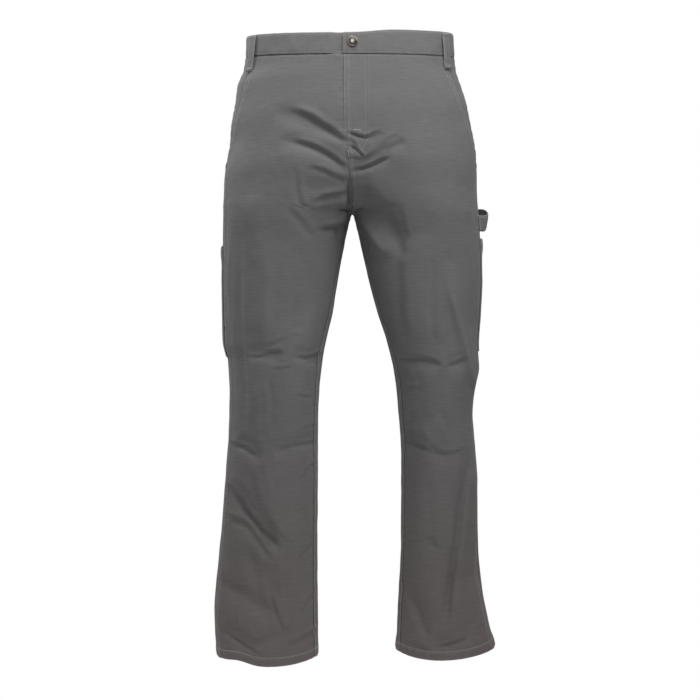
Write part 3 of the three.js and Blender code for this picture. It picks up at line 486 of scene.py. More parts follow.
@dataclass(frozen=True)
class Crease:
    """A small crease through points: a trough or ridge, often with a roll along one side."""

    width: float
    height: float
    roll: float
    path: tuple[tuple[float, float], ...]

    def line(self, steps: int = 6) -> tuple[Array, Array]:
        """Points on a smooth line through the path, and their share of the way along it."""
        points = np.array(self.path, float)
        ends = np.vstack([2 * points[0] - points[1], points, 2 * points[-1] - points[-2]])
        t = np.linspace(0, 1, steps, endpoint=False)[:, None]
        spans = []
        for a, b, c, d in zip(ends, ends[1:], ends[2:], ends[3:]):
            spans.append(
                0.5 * (2 * b + (c - a) * t + (2 * a - 5 * b + 4 * c - d) * t**2
                       + (3 * b - a - 3 * c + d) * t**3)
            )
        line = np.vstack([*spans, points[-1:]])
        run = np.concatenate([[0], np.cumsum(np.linalg.norm(np.diff(line, axis=0), axis=1))])
        return line, run / run[-1]

    def lift(self, x: Array, z: Array) -> Array:
        """How far the crease lifts the cloth.

        Args:
            x: Places across.
            z: Heights.

        Returns:
            Height times the mean of a wide and a narrow bell of the distance to the line, which
            gives a soft foot and a crisp core. The roll adds a bell times the distance itself,
            which lifts one side and sinks the other. Both fade at the ends.
        """
        line, share = self.line()
        reach = CREASE_REACH * self.width
        near = (
            (x > line[:, 0].min() - reach) & (x < line[:, 0].max() + reach)
            & (z > line[:, 1].min() - reach) & (z < line[:, 1].max() + reach)
        )
        lifted = np.zeros(np.shape(x))
        px, pz = x[near], z[near]
        best, along, left = np.full(px.shape, 1e9), np.zeros(px.shape), np.ones(px.shape)
        for a, b, sa, sb in zip(line, line[1:], share, share[1:]):
            way, dx, dz = b - a, px - a[0], pz - a[1]
            t = np.clip((dx * way[0] + dz * way[1]) / (way @ way), 0, 1)
            gap = np.hypot(dx - t * way[0], dz - t * way[1])
            closer = gap < best
            best = np.where(closer, gap, best)
            along = np.where(closer, sa + t * (sb - sa), along)
            left = np.where(closer, np.sign(dz * way[0] - dx * way[1]), left)
        profile = sum(share * bump(best, wide * self.width) for share, wide in (WIDE_BELL, NARROW_BELL))
        rolled = ROLL_PEAK * left * best / self.width * bump(best, self.width)
        faded = smooth(along / FADE_IN) * smooth((1 - along) / FADE_OUT)
        lifted[near] = (self.height * profile + self.roll * rolled) * faded
        return lifted


FOLDS: dict[Face, list[Fold]] = {
    face: [Fold((a, b), (c, d), *rest) for a, b, c, d, *rest in table]
    for face, table in ((Face.FRONT, FRONT_FOLDS), (Face.BACK, BACK_FOLDS))
}
CREASES: dict[Face, list[Crease]] = {
    face: [Crease(width, height, roll, tuple(path)) for width, height, roll, *path in table]
    for face, table in ((Face.FRONT, FRONT_CREASES), (Face.BACK, BACK_CREASES))
}


@dataclass
class LegForm:
    """The round of one leg, carried up over the hip: a rounded oblong at every height."""

    side: Side
    inner: Curve = field(init=False)
    outer: Curve = field(init=False)
    levels: Array = field(init=False)
    means: Array = field(init=False)

    def __post_init__(self) -> None:
        """Takes the widths of this side from their table, and eases the middle's way between them.

        The middle is the mean of both edges, averaged over heights by a bell, so that the thigh
        runs on from the hip without a step at the crotch.
        """
        self.inner = curve_of(WIDTHS[self.side], 1)
        self.outer = curve_of(WIDTHS[self.side], 2)
        self.levels = np.arange(-1160.0, 161.0, MIDDLE_PACE)
        mean = (self.inner(self.levels) + self.outer(self.levels)) / 2
        bell = bump(np.arange(-MIDDLE_REACH, MIDDLE_REACH + 1, MIDDLE_PACE), MIDDLE_BELL)
        spare = int(MIDDLE_REACH / MIDDLE_PACE)
        self.means = np.convolve(np.pad(mean, spare, mode="edge"), bell / bell.sum(), "valid")

    def middle(self, z: Array) -> Array:
        """How far out the middle of the round lies at a height."""
        return np.interp(z, self.levels, self.means)

    def share_in(self, out: Array, z: Array) -> Array:
        """How far a place is from the middle towards the inner edge, or below zero outwards."""
        middle = self.middle(z)
        gap = middle - out
        half = np.where(gap > 0, middle - self.inner(z), self.outer(z) - middle)
        return np.clip(gap / half, -1, 1)

    def round(self, angle: Array, z: Array) -> Array:
        """The outer face of the cloth without folds.

        Args:
            angle: Degrees round the leg from its inner edge by the front.
            z: Heights.

        Returns:
            Points of a superellipse: cosine and sine, each to 2 over the squareness, times the
            width inwards or outwards from the middle and the depth in front of or behind the
            widest place.
        """
        middle = self.middle(z)
        power, widest = 2 / SQUARE(z), WIDEST(z)
        turn = np.radians(angle)
        sine = np.sin(turn)
        reach = np.where(sine > 0, FRONT_DEPTH(z), BACK_DEPTH(z)) - widest
        cosine = np.cos(turn)
        half = np.where(cosine > 0, middle - self.inner(z), self.outer(z) - middle)
        out = middle - half * signed_power(cosine, power)
        y = widest + reach * np.abs(sine) ** power
        return np.stack(np.broadcast_arrays(self.side.value * out, y, z), axis=-1)

    def facing(self, angle: Array, z: Array) -> Array:
        """The way that the cloth faces: the cross product of its run round and its run up."""
        turn, climb = 1.5, 3.0
        around = self.round(angle + turn, z) - self.round(angle - turn, z)
        up = self.round(angle, z + climb) - self.round(angle, z - climb)
        return unit(np.cross(around, up) * self.side.value)

    def cloth(self, angle: Array, z: Array, distance: Array | float = 0.0) -> Array:
        """The outer face with its folds, creases and wavering, moved out by a distance.

        Args:
            angle: Degrees round the leg.
            z: Heights.
            distance: How far off the cloth, along the way that it faces.

        Returns:
            Points in millimetres.
        """
        point, normal = self.round(angle, z), self.facing(angle, z)
        x, height = point[..., 0], point[..., 2]
        lift = np.zeros(x.shape)
        for face in Face:
            towards = smooth((face.value * normal[..., 1] - FACE_FROM) / FACE_FADE)
            folds = sum(fold.lift(x, height) for fold in FOLDS[face])
            lift += towards * (folds + sum(c.lift(x, height) for c in CREASES[face]))
        worn = smooth((WAVER_TOP - height) / WAVER_FADE)
        lift += worn * (DRAPE_SIZE * DRAPE.at(point) + RUMPLE_SIZE * RUMPLE.at(point))
        return point + normal * (lift + distance)[..., None]

    def rise_angle(self, z: Array, seam_x: Array) -> Array:
        """The angle where the rise seam cuts the round, by turning the superellipse round."""
        share = self.share_in(self.side.value * seam_x + SEAM_GAP / 2, z)
        return np.degrees(np.arccos(signed_power(share, SQUARE(z) / 2)))

    def angle_behind(self, x: Array, z: Array) -> Array:
        """The angle of a place on the back, by its distance from the centre plane."""
        return 360 - np.degrees(np.arccos(signed_power(self.share_in(x, z), SQUARE(z) / 2)))


FORMS = {side: LegForm(side) for side in Side}


def around_waist(angle: Array, z: Array, distance: Array | float) -> Array:
    """The waist's outer face by the angle round the body: 0 front, 90 the wearer's left."""
    turned = np.mod(angle, 360.0)
    left = FORMS[Side.LEFT].cloth(90 + turned, z, distance)
    right = FORMS[Side.RIGHT].cloth(450 - turned, z, distance)
    return np.where((turned <= 180)[..., None], left, right)


@dataclass(frozen=True)
class Plane:
    """A level edge that rises towards the back."""

    height: float
    slope: float

    def at(self, points: Array) -> Array:
        """The edge's height over points: its height plus slope times Y."""
        return self.height + self.slope * points[..., 1]


WAIST_SEAM, WAIST_TOP = Plane(-4.5, 0.125), Plane(32.0, 0.128)


def waist_top(points: Array) -> Array:
    """The band's upper edge, 5 mm higher on the wearer's left in front."""
    rise, fade, behind = 5.0, 80.0, 40.0
    shift = rise * smooth(points[..., 0] / fade) * smooth((behind - points[..., 1]) / fade)
    return WAIST_TOP.at(points) + shift


@dataclass(frozen=True)
class Hem:
    """A hem's level: its height at the middle, and its rises.

    It rises outwards and backwards, at both edges, and in a hollow on the outer side.
    """

    height: float
    outward: float
    backward: float
    middle: float
    corner: float
    hollow: float
    half_width: float = 90.0
    hollow_out: float = 48.0
    hollow_width: float = 26.0

    def at(self, side: Side, points: Array) -> Array:
        """The hem's height over points."""
        out = side.value * points[..., 0] - self.middle
        level = self.height + self.outward * out + self.backward * points[..., 1]
        level = level + self.corner * (out / self.half_width) ** 2
        return level + self.hollow * bump(out - self.hollow_out, self.hollow_width)


HEMS = {
    Side.LEFT: Hem(-1064.5, 0.04, 0.2, 172.0, 5.0, 0.0),
    Side.RIGHT: Hem(-1082.0, 0.0, 0.1, 149.0, 7.0, 7.0),
}


def yoke_seam(points: Array) -> Array:
    """The yoke seam's height, lowest at the centre."""
    return YOKE_CENTRE + YOKE_RISE * np.abs(points[..., 0]) / HIPS


# Grids and meshes

# An edge's grooves, as depth and width: behind its rolled rim, over the band's height, and at a row
# of stitches; and its worn places, as share, place and width: on the rim and at the band's foot
RIM_GROOVE, STITCH_GROOVE = (0.55, 0.9), (0.38, 0.85)
RIM_WEAR, FOOT_WEAR = (0.8, 0.4, 1.2), (0.35, 0.0, 1.6)
BAND_STEP = 3.0
# How far a cut edge bulges, over the cloth's thickness
RIM_BULGE = 0.32
# Steps in from an edge: how far they stay close, and the wider pace after that
CLOSE_STEPS, WIDE_PACE = 11.0, 1.6
# Columns beyond a seam, as shares of how far the cloth runs on past it
PAST_SEAM = np.array([0.45, 1.0])
# A finish that starts above everything, and the height over which one gives way to the next
ABOVE = 99.0
FINISH_FADE = 10.0


@dataclass(frozen=True)
class Edge:
    """How an edge of cloth is finished, by the distance inwards from it."""

    band: float = 0.0
    width: float = 9.5
    rows: tuple[float, ...] = ()
    tuck: float = 0.0
    wavering: float = 0.3
    dip: float = 2.4

    def relief(self, distance: Array, along: Array) -> Array:
        """The height of the finish over the plain cloth.

        Args:
            distance: Distance inwards from the edge, below zero past the seam.
            along: Distance along the edge.

        Returns:
            A raised band with a rolled rim, a groove at each stitched row, the pucker between
            them, and the dip of an edge that goes under its neighbour.
        """
        lift = self.band * (1 - smooth((distance - self.width) / BAND_STEP))
        if self.band:
            depth, wide = RIM_GROOVE
            lift = lift - depth * self.band * bump(distance, wide)
        depth, wide = STITCH_GROOVE
        for row in self.rows:
            lift = lift - depth * bump(distance - row, wide)
        middle = 0.5 * self.width
        lift = lift + self.wavering * pucker(along) * bump(distance - middle, 1.15 * middle)
        return lift - self.tuck * (1 - smooth((distance + MEETING) / self.dip))

    def wear(self, distance: Array) -> Array:
        """How much lighter the edge is worn: most on its rim and along the band's foot."""
        if not self.band:
            return np.zeros(np.shape(distance))
        share, place, wide = RIM_WEAR
        rim = share * bump(distance - place, wide)
        share, place, wide = FOOT_WEAR
        return rim + share * bump(distance - self.width - place, wide)


FELLED = Edge(band=1.05, rows=STITCH_ROWS, wavering=0.34)
UNDER = Edge(tuck=0.9, wavering=0.26)
SUNK = Edge(tuck=1.7, wavering=0.3, dip=4.0)
BANDED = Edge(tuck=1.3, wavering=0.3, dip=2.8)
FREE = Edge(band=0.5, rows=STITCH_ROWS, wavering=0.2)
FLY_EDGE = Edge(band=0.45, width=8.5, rows=(6.6,), wavering=0.16)
PLAIN = Edge(wavering=0.0)
HEMMED = Edge(band=0.55, width=14.0, rows=(15.6,), wavering=0.5)
PATCHED = Edge(band=0.4, width=9.0, rows=(1.8, 7.8), wavering=0.24)
POCKET_HEM = Edge(band=0.45, width=20.5, rows=(2.0, 18.5), wavering=0.2)


Finishes = tuple[tuple[float, Edge], ...]
BACK_STEPS = np.array([0.0, 0.8, 1.6, 2.6, 4.5, 7.0, 10.0])


def down_and_across(points: Array, hand: int) -> Array:
    """The way a grid faces: its run down crossed with its run along, times its hand."""
    return unit(np.cross(np.gradient(points, axis=0), np.gradient(points, axis=1)) * hand)


def run_along(points: Array, axis: int) -> Array:
    """The distance run along one axis of a grid, from its first point."""
    steps = np.linalg.norm(np.diff(points, axis=axis), axis=-1)
    start = np.zeros_like(np.take(steps, [0], axis=axis))
    return np.concatenate([start, np.cumsum(steps, axis=axis)], axis=axis)


@dataclass
class Grid:
    """Cloth as a grid: rows run down, columns along; normals point out of the cloth."""

    points: Array
    hand: int
    from_first: Array
    wear: Array
    length: Array
    plain: Array
    normals: Array = field(init=False)

    def __post_init__(self) -> None:
        """Works out the way that each point faces."""
        self.normals = down_and_across(self.points, self.hand)

    def cut(self) -> tuple[tuple[float, float], float]:
        """The cut, laid flat: (width, length) and area, in metres, of the cloth without folds."""
        across = np.linalg.norm(np.diff(self.plain, axis=1), axis=-1)
        down = np.linalg.norm(np.diff(self.plain, axis=0), axis=-1)
        area = (across[1:] + across[:-1]) * (down[:, 1:] + down[:, :-1]) / 4
        width, length = across.sum(axis=1).max(), down.sum(axis=0).max()
        size = (float(width) * MM, float(length) * MM)
        return size, min(float(area.sum()) * MM * MM, size[0] * size[1])

    def at(self, rows: Array, columns: Array) -> tuple[Array, Array]:
        """Points and normals between the grid's own, by weights of the four round each place."""
        last_row, last_column = self.points.shape[0] - 2, self.points.shape[1] - 2
        i = np.clip(np.floor(rows).astype(int), 0, last_row)
        j = np.clip(np.floor(columns).astype(int), 0, last_column)
        u, v = (rows - i)[:, None], (columns - j)[:, None]

        def mixed(values: Array) -> Array:
            """The weighted mean of four corners."""
            top = values[i, j] * (1 - v) + values[i, j + 1] * v
            low = values[i + 1, j] * (1 - v) + values[i + 1, j + 1] * v
            return top * (1 - u) + low * u

        return mixed(self.points), unit(mixed(self.normals))


def shell_object(name: str, grid: Grid, thickness: Array | float) -> bpy.types.Object:
    """Makes a closed cloth shell from a grid.

    Args:
        name: The piece's name.
        grid: The outer face.
        thickness: How far in the inner face lies, alone or by row.

    Returns:
        An object of quads: both faces, and a rounded rim of two bands between their borders. Its
        UV map holds the distance along and the height in metres; "wear" holds the worn places.
    """
    outer = grid.points
    n, m = outer.shape[:2]
    deep = np.broadcast_to(np.asarray(thickness, float), (n, m))[..., None]
    inner = outer - grid.normals * deep
    index = np.arange(n * m).reshape(n, m)
    border = np.concatenate(
        [index[0, :-1], index[:-1, -1], index[-1, :0:-1], index[:0:-1, 0]]
    )
    step_in = np.concatenate(
        [index[1, :-1], index[:-1, -2], index[-2, :0:-1], index[:0:-1, 1]]
    )
    flat_outer, flat_inner = outer.reshape(-1, 3), inner.reshape(-1, 3)
    outwards = unit(flat_outer[border] - flat_outer[step_in])
    bulge = RIM_BULGE * deep.reshape(-1, 1)[border]
    rim = (flat_outer[border] + flat_inner[border]) / 2 + outwards * bulge
    points = np.concatenate([flat_outer, flat_inner, rim])
    a, b, c, d = index[:-1, :-1], index[1:, :-1], index[1:, 1:], index[:-1, 1:]
    top = np.stack([a, b, c, d], axis=-1).reshape(-1, 4)
    low = top[:, ::-1] + n * m
    ring = np.arange(len(border)) + 2 * n * m
    after, ring_after = np.roll(border, -1), np.roll(ring, -1)
    upper = np.stack([border, after, ring_after, ring], axis=-1)
    lower = np.stack([ring, ring_after, after + n * m, border + n * m], axis=-1)
    quads = np.concatenate([top, low, upper, lower])
    if grid.hand < 0:
        quads = quads[:, ::-1]
    along = run_along(outer, 1)
    along = along - along[:, m // 2][:, None]
    flat_map = np.stack([along, outer[..., 2]], axis=-1).reshape(-1, 2) * MM
    maps = np.concatenate([flat_map, flat_map, flat_map[border]])
    wear = grid.wear.reshape(-1)
    worn = np.concatenate([wear, wear * 0, wear[border]])
    return mesh_object(name, points, quads, maps, worn)


def mesh_object(
    name: str, points: Array, quads: Array, maps: Array | None = None, wear: Array | None = None
) -> bpy.types.Object:
    """Puts points (mm) and faces of one size into a smooth-shaded mesh object at the origin.

    Args:
        name: The piece's name.
        points: Vertices in millimetres.
        quads: Vertex numbers of each face, all with the same number of corners.
        maps: A place on the cloth for each vertex, in metres.
        wear: The worn share of each vertex; on the button's crown it is also a painted highlight.

    Returns:
        The object, linked to the scene.
    """
    mesh = bpy.data.meshes.new(name)
    count, corners = quads.shape
    mesh.vertices.add(len(points))
    mesh.vertices.foreach_set("co", (points * MM).astype(np.float32).ravel())
    mesh.loops.add(count * corners)
    mesh.loops.foreach_set("vertex_index", quads.astype(np.int32).ravel())
    mesh.polygons.add(count)
    mesh.polygons.foreach_set("loop_start", np.arange(0, count * corners, corners, dtype=np.int32))
    mesh.update(calc_edges=True)
    mesh.polygons.foreach_set("use_smooth", np.ones(count, bool))
    if maps is not None:
        layer = mesh.uv_layers.new(name="Cloth")
        layer.uv.foreach_set("vector", maps[quads.ravel()].astype(np.float32).ravel())
    if wear is not None:
        attribute = mesh.attributes.new("wear", "FLOAT", "POINT")
        attribute.data.foreach_set("value", np.clip(wear, 0, 1).astype(np.float32))
    mesh.validate()
    piece = bpy.data.objects.new(name, mesh)
    bpy.context.scene.collection.objects.link(piece)
    return piece


def edge_steps(length: float = 13.5, pace: float = 1.0) -> Array:
    """Distances in from an edge: close together at first, wider at the end."""
    close = np.arange(0.0, min(length, CLOSE_STEPS) + 0.01, pace)
    return np.unique(np.concatenate([close, np.arange(CLOSE_STEPS, length + 0.01, WIDE_PACE)]))


@dataclass
class Spread:
    """Columns of a panel between two seams, at set distances from each of them.

    The angles are tabled by height: arc lengths are summed along the round, and the angle at
    each wanted distance is read back from them.
    """

    form: LegForm
    first: AngleAt
    last: AngleAt
    first_reach: AngleAt | None = None
    last_reach: AngleAt | None = None
    first_steps: Array = field(default_factory=edge_steps)
    last_steps: Array = field(default_factory=edge_steps)
    middle: int = 58
    heights: Array = field(default_factory=lambda: np.arange(62.0, -1100.0, -2.0))
    spare: float = 16.0
    angles: Array = field(init=False)
    distances: Array = field(init=False)
    lengths: Array = field(init=False)

    def __post_init__(self) -> None:
        """Fills the tables of angles, distances and lengths."""
        rows = [self._row(z) for z in self.heights]
        self.angles = np.array([row[0] for row in rows])
        self.distances = np.array([row[1] for row in rows])
        self.lengths = np.array([row[2] for row in rows])

    def _row(self, z: float) -> tuple[Array, Array, float]:
        """The angles and distances of all columns, and the length between seams, at a height."""
        first, last = float(self.first(z)), float(self.last(z))
        angles = np.linspace(first - self.spare, last + self.spare, 260)
        arc = run_along(self.form.round(angles, np.full(angles.shape, z))[None], 1)[0]
        arc = arc - np.interp(first, angles, arc)
        length = float(np.interp(last, angles, arc))
        parts = [self.first_steps, None, length - self.last_steps[::-1]]
        parts[1] = np.linspace(parts[0][-1], parts[2][0], self.middle + 2)[1:-1]
        if self.first_reach is not None:
            parts.insert(0, float(self.first_reach(z)) * -PAST_SEAM[::-1])
        if self.last_reach is not None:
            parts.append(length + float(self.last_reach(z)) * PAST_SEAM)
        wanted = np.concatenate(parts)
        return np.interp(wanted, arc, angles), wanted, length

    @property
    def columns(self) -> int:
        """How many columns there are."""
        return self.angles.shape[1]

    def read(self, table: Array, z: Array) -> Array:
        """A table's values at the heights of a grid, column by column."""
        up = self.heights[::-1]
        picked = [np.interp(z[:, j], up, table[::-1, j]) for j in range(z.shape[1])]
        return np.stack(picked, axis=1)


@dataclass
class Panel:
    """One cut of cloth on a leg: seams at both sides, a slanted top edge and perhaps a hem."""

    spread: Spread
    rests: Array
    top_rest: float
    top: Callable[[Array], Array]
    hem: Hem | None = None
    bottom: Callable[[Array], Array] | None = None
    first_edges: Finishes = ((ABOVE, PLAIN),)
    last_edges: Finishes = ((ABOVE, PLAIN),)
    top_edge: Edge = PLAIN
    bottom_edge: Edge = PLAIN
    lift: Callable[[Array, Array, Array], Array] | None = None

    @staticmethod
    def _side(from_seam: Array, z: Array, edges: Finishes) -> tuple[Array, Array]:
        """The relief and wear of a side edge.

        Args:
            from_seam: Distances in from the seam.
            z: Heights.
            edges: Each finish with the height that it starts at, from the top down.

        Returns:
            The sum of every finish times its share, which eases in and out over 10 mm.
        """
        middle = FINISH_FADE / 2
        starts = [smooth((start - z + middle) / FINISH_FADE) for start, _ in edges] + [0.0]
        shares = [one - after for one, after in zip(starts, starts[1:])]
        relief = sum(w * edge.relief(from_seam, z) for w, (_, edge) in zip(shares, edges))
        wear = sum(w * edge.wear(from_seam) for w, (_, edge) in zip(shares, edges))
        return relief, wear

    def grid(self) -> Grid:
        """Works out the panel's outer face.

        Returns:
            The cloth at the angles and heights of the grid, with the relief of all its edges.
        """
        form, spread = self.spread.form, self.spread
        rests = self.rests[:, None]
        flat = rests + np.zeros((1, spread.columns))
        guide = form.round(spread.read(spread.angles, flat), flat)
        share_down = np.clip(1 - (self.top_rest - rests) / SHIFT_FADE, 0, 1)
        z = flat + (self.top(guide) - self.top_rest) * share_down
        if self.bottom is not None:
            share = (self.top_rest - rests) / (self.top_rest - self.rests[-1])
            z = self.top(guide) + (self.bottom(guide) - self.top(guide)) * share
        if self.hem is not None:
            low = self.hem.at(form.side, guide) - self.hem.height
            z = z + low * np.clip(1 - (rests - self.hem.height) / SHIFT_FADE, 0, 1)
        angles = spread.read(spread.angles, z)
        distances = spread.read(spread.distances, z)
        lengths = np.interp(z, spread.heights[::-1], spread.lengths[::-1])
        past = lengths - distances
        base = form.cloth(angles, z)
        relief, wear = self._side(distances, z, self.first_edges)
        more, more_wear = self._side(past, z, self.last_edges)
        top_row = int(np.argmin(np.abs(self.rests - self.top_rest)))
        from_top, from_bottom = z[top_row] - z, z - z[-1]
        relief = relief + more + self.top_edge.relief(from_top, distances)
        relief = relief + self.bottom_edge.relief(from_bottom, distances)
        if self.lift is not None:
            relief = relief + self.lift(distances, angles, z)
        wear = wear + more_wear + self.bottom_edge.wear(from_bottom)
        facing = down_and_across(base, form.side.value)
        outer = base + facing * relief[..., None]
        plain = form.round(angles, z)
        return Grid(outer, form.side.value, distances, wear, lengths[:, -1], plain)


# Sewing

# The way up, and how wide the bartacks of patches and of loops are
UP = np.array([0.0, 0.0, 1.0])
PATCH_TACK_WIDTH, LOOP_TACK_WIDTH = 2.4, 2.6


@dataclass
class Sewing:
    """Stitches of one garment part, gathered as short threads and made into one mesh."""

    name: str
    pitch: float = 3.7
    length: float = 2.5
    width: float = 0.85
    lead: float = 0.15
    tack_pitch: float = 0.75
    tack_slant: float = 0.35
    starts: list[Array] = field(default_factory=list)
    ends: list[Array] = field(default_factory=list)
    ways_out: list[Array] = field(default_factory=list)

    def row(self, points: Array, normals: Array) -> None:
        """Sews a row of lockstitches along a line, with a little unevenness.

        Args:
            points: The line on the cloth.
            normals: The way that the cloth faces along it.
        """
        run = run_along(points[None], 1)[0]
        if run[-1] < self.pitch:
            return
        count = int(run[-1] / self.pitch)
        rng = np.random.default_rng(count)
        off_place, off_length, off_line = 0.1, 0.05, 0.07
        start = (np.arange(count) + self.lead) * run[-1] / count + rng.normal(0, off_place, count)
        end = start + self.length * (1 + rng.normal(0, off_length, count))
        aside = rng.normal(0, off_line, count)[:, None]

        def on_line(values: Array, at: Array) -> Array:
            """Values of the line at distances along it."""
            return np.stack([np.interp(at, run, values[:, k]) for k in range(3)], axis=1)

        out = unit(on_line(normals, start))
        first, last = on_line(points, start), on_line(points, end)
        across = unit(np.cross(out, last - first))
        self.starts.append(first + across * aside)
        self.ends.append(last - across * aside)
        self.ways_out.append(out)

    def across(self, grid: Grid, table: Array, wanted: Array | float, columns: Array) -> None:
        """Sews a row of lockstitches across the columns of a grid.

        Args:
            grid: The cloth.
            table: A value for each of its points that rises from row to row.
            wanted: The value to sew at: one, or one for each column of the grid.
            columns: The numbers of the columns that the row crosses.
        """
        wanted = np.broadcast_to(wanted, table.shape[1:])
        count = np.arange(len(table))
        rows = [np.interp(wanted[j], table[:, j], count) for j in columns.astype(int)]
        self.row(*grid.at(np.array(rows), columns))

    def tack(self, middle: Array, way: Array, out: Array, length: float, width: float) -> None:
        """Sews a bartack: threads across a short line, close together.

        Args:
            middle: Its middle.
            way: The way that it runs.
            out: The way that the cloth faces.
            length: How long it is.
            width: How long each thread across it is.
        """
        way = unit(way - out * (way @ out))
        across = np.cross(out, way)
        at = np.linspace(-0.5, 0.5, int(length / self.tack_pitch))[:, None] * length * way
        self.starts.append(middle + at - across * width / 2)
        self.ends.append(middle + at + way * self.tack_slant + across * width / 2)
        self.ways_out.append(np.repeat(out[None], len(at), axis=0))

    def tack_on(
        self, grid: Grid, row: float, column: float, way: Array, length: float, width: float
    ) -> None:
        """Sews a bartack at a row and a column of a grid."""
        spot, normal = grid.at(np.array([row]), np.array([column]))
        self.tack(spot[0], way, normal[0], length, width)

    def build(self) -> bpy.types.Object:
        """Makes every thread a four-sided spindle that dives into the cloth at both ends.

        Returns:
            One joined mesh.
        """
        first, last = np.concatenate(self.starts), np.concatenate(self.ends)
        out = np.concatenate(self.ways_out)
        way = last - first
        across = unit(np.cross(out, way))
        share = np.array([0.0, 0.24, 0.76, 1.0])
        rise = np.array([-0.6, 0.28, 0.28, -0.6])
        half = np.array([0.35, 1.0, 1.0, 0.35]) * self.width / 2
        middle = first[:, None] + way[:, None] * share[None, :, None]
        middle += out[:, None] * rise[None, :, None]
        corners = np.array([[1, 0], [0, 0.85], [-1, 0], [0, -0.85]])
        ring = (
            across[:, None, None] * corners[None, None, :, :1]
            + out[:, None, None] * corners[None, None, :, 1:]
        )
        points = (middle[:, :, None] + ring * half[None, :, None, None]).reshape(-1, 3)
        k = np.arange(4)
        bands = [
            np.stack([4 * r + k, 4 * r + (k + 1) % 4, 4 * r + 4 + (k + 1) % 4, 4 * r + 4 + k], 1)
            for r in range(3)
        ]
        one = np.concatenate([*bands, [[3, 2, 1, 0]], [[12, 13, 14, 15]]])
        quads = (one[None] + 16 * np.arange(len(first))[:, None, None]).reshape(-1, 4)
        return mesh_object(self.name, points, quads[:, ::-1])


def column_line(grid: Grid, distance: Array | float, rows: Array) -> tuple[Array, Array]:
    """The line on a grid at a distance from its first seam, over some rows."""
    count = np.arange(grid.points.shape[1])
    want = np.broadcast_to(distance, rows.shape)
    columns = [np.interp(d, grid.from_first[int(r)], count) for d, r in zip(want, rows)]
    return grid.at(rows, np.array(columns))


def rows_between(grid: Grid, high: float, low: float, column: int) -> Array:
    """The rows of a grid whose height at a column lies between two heights."""
    z = grid.points[:, column, 2]
    return np.where((z <= high) & (z >= low))[0].astype(float)


# Finishes


def linear(hex_colour: str) -> tuple[float, float, float, float]:
    """An sRGB hex colour as linear red, green, blue and one."""
    parts = [int(hex_colour[i : i + 2], 16) / 255 for i in (1, 3, 5)]
    turned = [c / 12.92 if c <= 0.04045 else ((c + 0.055) / 1.055) ** 2.4 for c in parts]
    return (*turned, 1.0)


@dataclass
class Shader:
    """A material's nodes, added one at a time with their settings and links."""

    name: str
    material: bpy.types.Material = field(init=False)

    def __post_init__(self) -> None:
        """Starts an empty material with an output and a principled shader."""
        self.material = bpy.data.materials.new(self.name)
        self.material.use_nodes = True
        self.material.node_tree.nodes.clear()
        self.surface = self.node("BsdfPrincipled")
        output = self.node("OutputMaterial")
        self.link(self.surface.outputs["BSDF"], output.inputs["Surface"])

    def link(self, source: Socket, target: Socket) -> None:
        """Links two sockets."""
        self.material.node_tree.links.new(source, target)

    def fill(self, node: bpy.types.Node, **inputs: object) -> None:
        """Sets or links sockets of a node.

        Args:
            node: The node.
            **inputs: Socket numbers (i0, i1) or names, each with a value or a socket to link.
        """
        for key, value in inputs.items():
            number = key[1:]
            name = int(number) if key[0] == "i" and number.isdigit() else key.replace("_", " ")
            socket = node.inputs[name]
            if isinstance(value, Socket):
                self.link(value, socket)
            else:
                socket.default_value = value

    def node(
        self, kind: str, settings: dict[str, object] | None = None, **inputs: object
    ) -> bpy.types.Node:
        """Adds a node.

        Args:
            kind: Its type, without ShaderNode.
            settings: Its properties by name.
            **inputs: As for fill.

        Returns:
            The node.
        """
        made = self.material.node_tree.nodes.new("ShaderNode" + kind)
        for key, value in (settings or {}).items():
            setattr(made, key, value)
        self.fill(made, **inputs)
        return made

    def maths(self, operation: str, *values: object) -> Socket:
        """Adds a sum and gives its result."""
        inputs = {f"i{k}": value for k, value in enumerate(values)}
        return self.node("Math", {"operation": operation}, **inputs).outputs[0]

    def total(self, *parts: tuple[Socket, float]) -> Socket:
        """Adds up sockets, each times its share."""
        result = self.maths("MULTIPLY", *parts[0])
        for part in parts[1:]:
            result = self.maths("ADD", result, self.maths("MULTIPLY", *part))
        return result

    def ranged(
        self, value: Socket, low: float, high: float, to_low: float = 0.0,
        to_high: float = 1.0, ease: str = "LINEAR",
    ) -> Socket:
        """Maps one range of values to another and gives the result."""
        ends = {"i1": low, "i2": high, "i3": to_low, "i4": to_high}
        return self.node("MapRange", {"interpolation_type": ease}, Value=value, **ends).outputs[0]

    def mix(
        self, share: Socket, first: object, second: object, blend: str = "MIX"
    ) -> Socket:
        """Mixes two colours, each a value or a socket, and gives the result."""
        kind = {"data_type": "RGBA", "blend_type": blend}
        return self.node("Mix", kind, i0=share, i6=first, i7=second).outputs[2]

    def noise(
        self, place: Socket, scale: float, detail: float, rough: float = 0.5,
        dimensions: str = "3D",
    ) -> Socket:
        """Adds noise by place and gives its value."""
        inputs = {"Vector": place, "Scale": scale, "Detail": detail, "Roughness": rough}
        return self.node("TexNoise", {"noise_dimensions": dimensions}, **inputs).outputs["Fac"]


